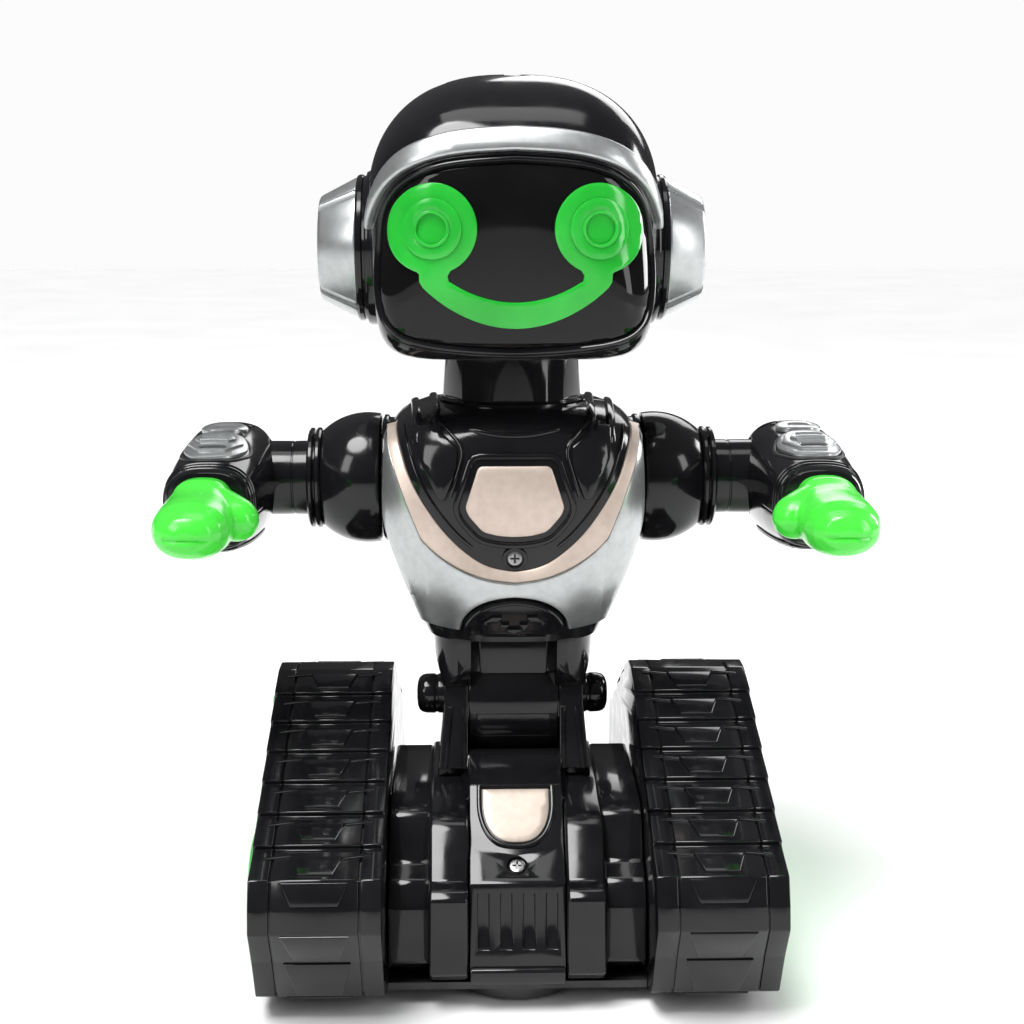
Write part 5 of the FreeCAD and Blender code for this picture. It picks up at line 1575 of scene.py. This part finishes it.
def torso_pieces():
    assemble([torso_half("torso_front", -1)] + chest_pieces() + belly_pieces(), "torso_front_shell",
             "black_shell", "torso")
    assemble([torso_half("torso_rear", 1)] + back_pieces(), "torso_rear_shell", "black_shell", "torso")
    assemble(hip_pieces(), "hip_frame", "black_shell", "torso")
    screws = [cross_screw("y", on_chest(0, 111.6, 0.4), -1)]
    screws += [cross_screw("y", on_back(side * 25.0, 128.0, 0.2), 1) for side in (-1, 1)]
    assemble(screws, "torso_screws", "screw_steel", "torso")
    hose_pieces()
    booster_pieces()
    bushing_pieces()


torso_pieces()


# ---- arms ----
FOREARM_ROWS = [   # distance in front of the shoulder axis, half width, half height
    (-15.3, 4.0, 5.0), (-14.8, 7.4, 8.8), (-13.4, 10.0, 11.8), (-10.5, 11.8, 14.2), (-3.0, 12.8, 16.0),
    (10.0, 13.0, 16.4), (30.0, 12.8, 14.2), (44.0, 12.0, 11.6), (49.0, 11.2, 10.5), (50.2, 10.4, 9.8),
]
FOREARM_POWER = 2.7


def forearm_size(s):
    """Half width and half height of a forearm, straight between the rows near its ends."""
    rows = FOREARM_ROWS
    s, k = row_at(rows, s)
    if 4 <= k <= 7:
        return curve(rows, k, s)
    f = (s - rows[k][0]) / (rows[k + 1][0] - rows[k][0])
    return [rows[k][c] + (rows[k + 1][c] - rows[k][c]) * f for c in (1, 2)]


class Forearm:
    """Surfaces of one forearm; x runs outward from its middle line and s forward from the shoulder axis."""

    def __init__(self, side):
        self.side = side

    def point(self, angle, s, grow=0.0):
        half, high = forearm_size(s)
        x = (half + grow) * bulge(math.cos(angle), 2 / FOREARM_POWER)
        z = (high + grow) * bulge(math.sin(angle), 2 / FOREARM_POWER)
        return Vector((self.side * (FOREARM_X + x), ARM_Y - s, ARM_Z + z))

    def over(self, up):
        """The upper (up = 1) or lower (-1) surface."""
        @lifted(lambda p, normal: normal.z * up)
        def surface(x, s):
            half, high = forearm_size(s)
            r = min(abs(x) / half, 0.985)
            z = up * high * (1 - r ** FOREARM_POWER) ** (1 / FOREARM_POWER)
            return Vector((self.side * (FOREARM_X + math.copysign(r * half, x)), ARM_Y - s, ARM_Z + z))
        return surface

    def solid(self, name):
        stations = ([-15.3, -15.1, -14.8, -14.2, -13.4, -12.2, -10.5] + [-8 + 2 * i for i in range(29)]
                    + [49.4, 50.2])
        return swept(name, [[self.point(2 * math.pi * i / 72, s) for i in range(72)] for s in stations])

    def hoop(self, s, width, height):
        """A rounded bead round the whole forearm."""
        shape = [(-0.5, -0.6), (-0.5, height * 0.4), (-0.25, height), (0.25, height), (0.5, height * 0.4),
                 (0.5, -0.6)]
        return swept("hoop", [[self.point(2 * math.pi * i / 72, s + w * width, h) for w, h in shape]
                              for i in range(72)], True)


VENT = [(0.0, 42.0), (4.6, 41.2), (6.6, 38.0), (8.8, 31.0), (7.4, 24.0), (5.0, 21.2), (0.0, 20.8)]
VENT_STEP = [(0.0, 38.6), (3.4, 38.2), (5.0, 35.6), (7.0, 30.6), (5.8, 25.6), (3.8, 23.2), (0.0, 23.0)]
VENT_TOP = [(0.0, 33.2), (3.6, 33.0), (5.0, 30.4), (4.0, 27.6), (0.0, 27.4)]
REAR_PAD = [(0.0, 18.6), (4.0, 18.2), (6.4, 14.6), (6.2, 11.0), (3.4, 9.0), (0.0, 8.8)]


def vent_pieces(arm, body, name):
    """Bright stepped pad with a dark slot in front, and a smaller pad with a slot behind it."""
    top, pad = arm.over(1), symmetric(smooth_path(VENT))
    slot = [(2.9, 34.6), (3.7, 35.9), (2.9, 37.2), (-2.9, 37.2), (-3.7, 35.9), (-2.9, 34.6)]
    notch = [(2.6, 12.6), (3.2, 13.6), (2.6, 14.6), (-2.6, 14.6), (-3.2, 13.6), (-2.6, 12.6)]
    pads = [conform("pad", pad, top, -0.6, 1.1, 0.7, 1.4),
            conform("pad_step", symmetric(VENT_STEP), top, 0.6, 1.8, 0.4, 1.2, [slot]),
            conform("pad_top", symmetric(VENT_TOP), top, 1.2, 2.5, 0.4, 1.2),
            conform("rear_pad", symmetric(smooth_path(REAR_PAD)), top, -0.6, 1.2, 0.6, 1.2, [notch])]
    for s, half in ((31.8, 3.6), (28.9, 3.4)):
        bar = [(-half, s - 0.5), (half, s - 0.5), (half, s + 0.5), (-half, s + 0.5)]
        pads.append(conform("bar", bar, top, 2.0, 2.9, 0.25, 1.0))
    assemble(pads, "forearm_vent_" + name, "silver_paint", body)
    inlays = [conform("inlay", grown(slot, 0.05), top, 0.9, 1.25, 0.05, 1.2),
              conform("inlay", grown(notch, 0.05), top, -0.4, 0.2, 0.05, 1.2),
              ridge("rim", grown(pad, 0.9), top, 0.8, 0.45, True)]
    dress(join(inlays, "forearm_inlay_" + name), "black_matte", body)


def under_pieces(arm):
    """Framed panel under the forearm: a screw boss near the elbow and a grille near the wrist."""
    under = arm.over(-1)
    outline = [(0.0, 44.6), (4.6, 43.0), (7.6, 34.0), (9.2, 14.0), (8.4, 1.0), (4.6, -4.4), (0.0, -5.4)]
    loop = symmetric(smooth_path(outline))
    parts = [ridge("panel_rim", loop, under, 1.5, 0.9, True),
             conform("boss", circle(0, 7.6, 4.6, 40), under, -0.6, 1.3, 0.5, 1.5, [circle(0, 7.6, 2.5, 28)]),
             ridge("boss_rim", circle(0, 7.6, 6.2, 40), under, 0.9, 0.5, True)]
    for i in range(4):
        s, half = 23.0 + 4.6 * i, 6.4 - 0.7 * i
        bar = [(-half, s - 1.25), (half, s - 1.25), (half - 0.5, s + 1.25), (-half + 0.5, s + 1.25)]
        parts.append(conform("bar", bar, under, -0.6, 1.1, 0.5, 1.3))
    for x in (-3.0, 3.0):
        parts.append(ridge("rib", [(x, 14.0), (x * 1.2, 19.0)], under, 1.0, 0.6))
    return parts


def elbow_line(arm):
    """Thin raised arc over the top of the elbow with a round pip beside it."""
    top = arm.over(1)
    arc_line = [(x, 3.0 - 0.045 * x * x) for x in [-9.0 + 1.5 * i for i in range(13)]]
    return [ridge("elbow_arc", arc_line, top, 0.7, 0.35),
            conform("pip", circle(-5.6, 5.2, 0.9, 16), top, -0.5, 0.4, 0.2, 0.6)]


def forearm_half(arm, side, name, low, high):
    """The part of a forearm between two heights, with a hole for the upper arm."""
    half = cut(arm.solid(name), [brick(side * 60, side * 100, -60, 40, low, high)], "INTERSECT")
    return bevel(cut(half, [lathe([(11.3, 60.0), (11.3, 74.0)], "x", SHOULDER, 64, side)]), 0.3, 2, 50)


def forearm_pieces(side, body, name):
    """Top and bottom shells with their details, the screw under the elbow and the vent pads."""
    arm, seam = Forearm(side), ARM_Z - 2.6
    top = [forearm_half(arm, side, "forearm_top", seam + 0.14, 160)]
    top += [arm.hoop(s, 0.7, 0.35) for s in (44.6, 46.4, 48.2)] + elbow_line(arm)
    assemble(top, "forearm_top_shell_" + name, "black_shell", body)
    bottom = [forearm_half(arm, side, "forearm_bottom", 90, seam - 0.14)] + under_pieces(arm)
    assemble(bottom, "forearm_bottom_shell_" + name, "black_shell", body)
    screw = cross_screw("z", arm.over(-1)(0, 7.6, 0.3), -1)
    dress(screw, "screw_steel", body, ["forearm_screw_" + name])
    vent_pieces(arm, body, name)


HAND_ROWS = [   # distance in front of the shoulder axis, half width, half height, drop, squareness
    (46.0, 7.4, 8.0, 0.0, 2.6), (50.4, 7.9, 8.8, 0.0, 2.8), (54.4, 8.1, 8.9, 0.0, 2.8),
    (56.0, 8.5, 8.6, 0.2, 2.5), (58.0, 9.3, 8.3, 0.5, 2.3), (62.0, 9.9, 8.0, 0.8, 2.2), (68.0, 10.1, 7.8, 1.0, 2.2),
    (73.0, 9.7, 7.3, 1.0, 2.2),
    (77.0, 8.3, 6.1, 1.0, 2.2), (79.6, 6.0, 4.4, 1.0, 2.2), (81.0, 2.8, 2.0, 1.0, 2.2),
]


def hand_pieces(side, body, name):
    """Mitten with a round thumb on its inner side, a square neck at the cuff and a crease below the knuckles."""
    turns = [2 * math.pi * i / 60 for i in range(60)]
    palm = swept("palm", [[(side * (FOREARM_X + 0.6 + half * bulge(math.cos(t), 2 / power)), ARM_Y - s,
                            ARM_Z - drop + high * bulge(math.sin(t), 2 / power)) for t in turns]
                          for s, half, high, drop, power in HAND_ROWS])
    path, radii = [], []
    for f in [i / 14 for i in range(15)]:
        path.append(Vector((side * (FOREARM_X - 2.0 - 12.0 * f), ARM_Y - 54.4 - 9.0 * f,
                            ARM_Z + 1.4 - 3.4 * f)))
        radii.append((6.6 - 1.3 * f) * math.sqrt(max(1 - (max(f - 0.6, 0) / 0.4) ** 2, 0.02)))
    hand = blob(join([palm, tube("thumb", path, radii, 28)], "hand"), 0.5, 8)

    def crease(x, y, z):
        off = (z - (ARM_Z - 2.0)) / 0.6
        reach = abs(abs(x) - FOREARM_X - 1.0) / 6.8
        if y < ARM_Y - 70 and abs(off) < 1 and reach < 1:
            return (x, y + 0.7 * (1 - off * off) * (1 - reach ** 4), z)
        return (x, y, z)

    dress(reshaped(hand, crease), "green_solid", body, ["hand_" + name], 60)


def shoulder_pieces(side, body, name):
    """Ball with a double flange, and the grooved upper arm tube."""
    ball = [(10.0, 37.4), (17.6, 37.4)]
    ball += [(math.sqrt(19.0 ** 2 - (h - 41.5) ** 2), h) for h in [37.8 + 16.6 * i / 24 for i in range(25)]]
    ball += [(13.2, 54.8), (10.0, 54.9)]
    flange = [(10.0, 54.6), (13.4, 54.6), (14.2, 54.8), (14.6, 55.3), (14.6, 56.0), (14.1, 56.4),
              (12.6, 56.5),
              (12.6, 56.8), (14.0, 56.9), (14.5, 57.3), (14.5, 58.0), (13.9, 58.5), (12.2, 58.8), (9.0, 58.8)]
    assemble([lathe(ball, "x", SHOULDER, 96, side), lathe(flange, "x", SHOULDER, 80, side)],
             "shoulder_ball_" + name, "black_shell", body)
    sleeve = [(8.0, 58.0), (10.8, 58.0), (10.7, 62.6), (10.5, 62.8), (10.5, 63.1), (10.7, 63.3), (10.8, 75.4),
              (8.0, 75.6)]
    dress(lathe(sleeve, "x", SHOULDER, 80, side), "black_shell", body, ["upper_arm_" + name])


for arm_side, arm_name in ((1, "left"), (-1, "right")):
    arm_body = "arm_" + arm_name
    shoulder_pieces(arm_side, arm_body, arm_name)
    forearm_pieces(arm_side, arm_body, arm_name)
    hand_pieces(arm_side, arm_body, arm_name)


# ---- floor, light and camera ----
def light(name, kind, watts):
    data = bpy.data.lights.new(name, kind)
    data.energy = watts
    return added(name, data)


def daylight(strength, spread, away):
    """Even light over the whole floor, with soft-edged shadows."""
    sun = light("daylight", "SUN", strength)
    sun.data.angle = math.radians(spread)
    sun.rotation_euler = Vector(away).to_track_quat("Z", "Y").to_euler()


def panel_light(name, width, height, place, target_z, watts):
    """A rectangular light that faces a point on the robot's axis."""
    panel = light(name, "AREA", watts)
    panel.data.shape = "RECTANGLE"
    panel.data.size, panel.data.size_y = width, height
    panel.location = place
    panel.rotation_euler = (Vector((0, 0, target_z)) - Vector(place)).to_track_quat("-Z", "Y").to_euler()


def floor():
    s = Shader("pale floor", Specular_IOR_Level=0.15)
    s.colours(s.noise(3.0, 2.0), (0.87, 0.87, 0.87), (0.885, 0.885, 0.885))
    s.roughness(s.noise(8.0), 0.55, 0.7)
    mesh = bpy.data.meshes.new("floor")
    bm = bmesh.new()
    bmesh.ops.create_grid(bm, x_segments=8, y_segments=8, size=4.0)
    bm.to_mesh(mesh)
    bm.free()
    obj = added("floor", mesh)
    mesh.materials.append(s.material)


def sky():
    """Pale surroundings, darker towards the ground in reflections, so that gloss has shape."""
    world = bpy.data.worlds.new("studio")
    bpy.context.scene.world = world
    world.use_nodes = True
    tree = world.node_tree
    background = tree.nodes["Background"]
    coords = tree.nodes.new("ShaderNodeTexCoord")
    split = tree.nodes.new("ShaderNodeSeparateXYZ")
    ramp = tree.nodes.new("ShaderNodeValToRGB")
    low, high = ramp.color_ramp.elements
    low.position, low.color = 0.0, (0.05, 0.05, 0.052, 1)
    high.position, high.color = 0.7, (0.16, 0.16, 0.165, 1)
    tree.links.new(coords.outputs["Generated"], split.inputs["Vector"])
    tree.links.new(split.outputs["Z"], ramp.inputs["Fac"])
    tree.links.new(ramp.outputs["Color"], background.inputs["Color"])
    pale = tree.nodes.new("ShaderNodeBackground")
    pale.inputs["Color"].default_value = (0.97, 0.97, 0.97, 1)
    path = tree.nodes.new("ShaderNodeLightPath")
    choose = tree.nodes.new("ShaderNodeMixShader")
    tree.links.new(path.outputs["Is Camera Ray"], choose.inputs["Fac"])
    tree.links.new(background.outputs["Background"], choose.inputs[1])
    tree.links.new(pale.outputs["Background"], choose.inputs[2])
    tree.links.new(choose.outputs["Shader"], tree.nodes["World Output"].inputs["Surface"])


CAMERA_AZIMUTH, CAMERA_ELEVATION, CAMERA_DISTANCE = -1.35, 10.97, 0.483
CAMERA_LENS, CAMERA_TARGET_Z = 59.0, 118.0
LIGHTS = [   # name, width, height, place, height of the target, watts
    ("key", 0.3, 0.6, (-0.75, -0.8, 0.75), 0.14, 3.5),
    ("fill", 0.25, 0.8, (0.95, -0.6, 0.5), 0.13, 3.5),
    ("side", 0.35, 0.7, (1.2, 0.55, 0.5), 0.08, 10.5),
    ("top", 0.6, 0.3, (0.0, 0.0, 1.1), 0.12, 1.5),
    ("back", 0.7, 0.4, (0.35, 1.0, 0.7), 0.13, 3),
]


def camera():
    az, el = math.radians(CAMERA_AZIMUTH), math.radians(CAMERA_ELEVATION)
    data = bpy.data.cameras.new("camera")
    data.lens = CAMERA_LENS
    data.sensor_width = 36.0
    data.clip_start = 0.01
    obj = added("camera", data)
    away = Vector((math.sin(az) * math.cos(el), -math.cos(az) * math.cos(el), math.sin(el)))
    obj.location = to_frame((0, 0, CAMERA_TARGET_Z)) + away * CAMERA_DISTANCE
    obj.rotation_euler = (-away).to_track_quat("-Z", "Y").to_euler()
    bpy.context.scene.camera = obj


bpy.context.scene.view_settings.view_transform = "Standard"
floor()
sky()
daylight(3.6, 30.0, (-0.3, -0.35, 1.0))
for row in LIGHTS:
    panel_light(*row)
camera()
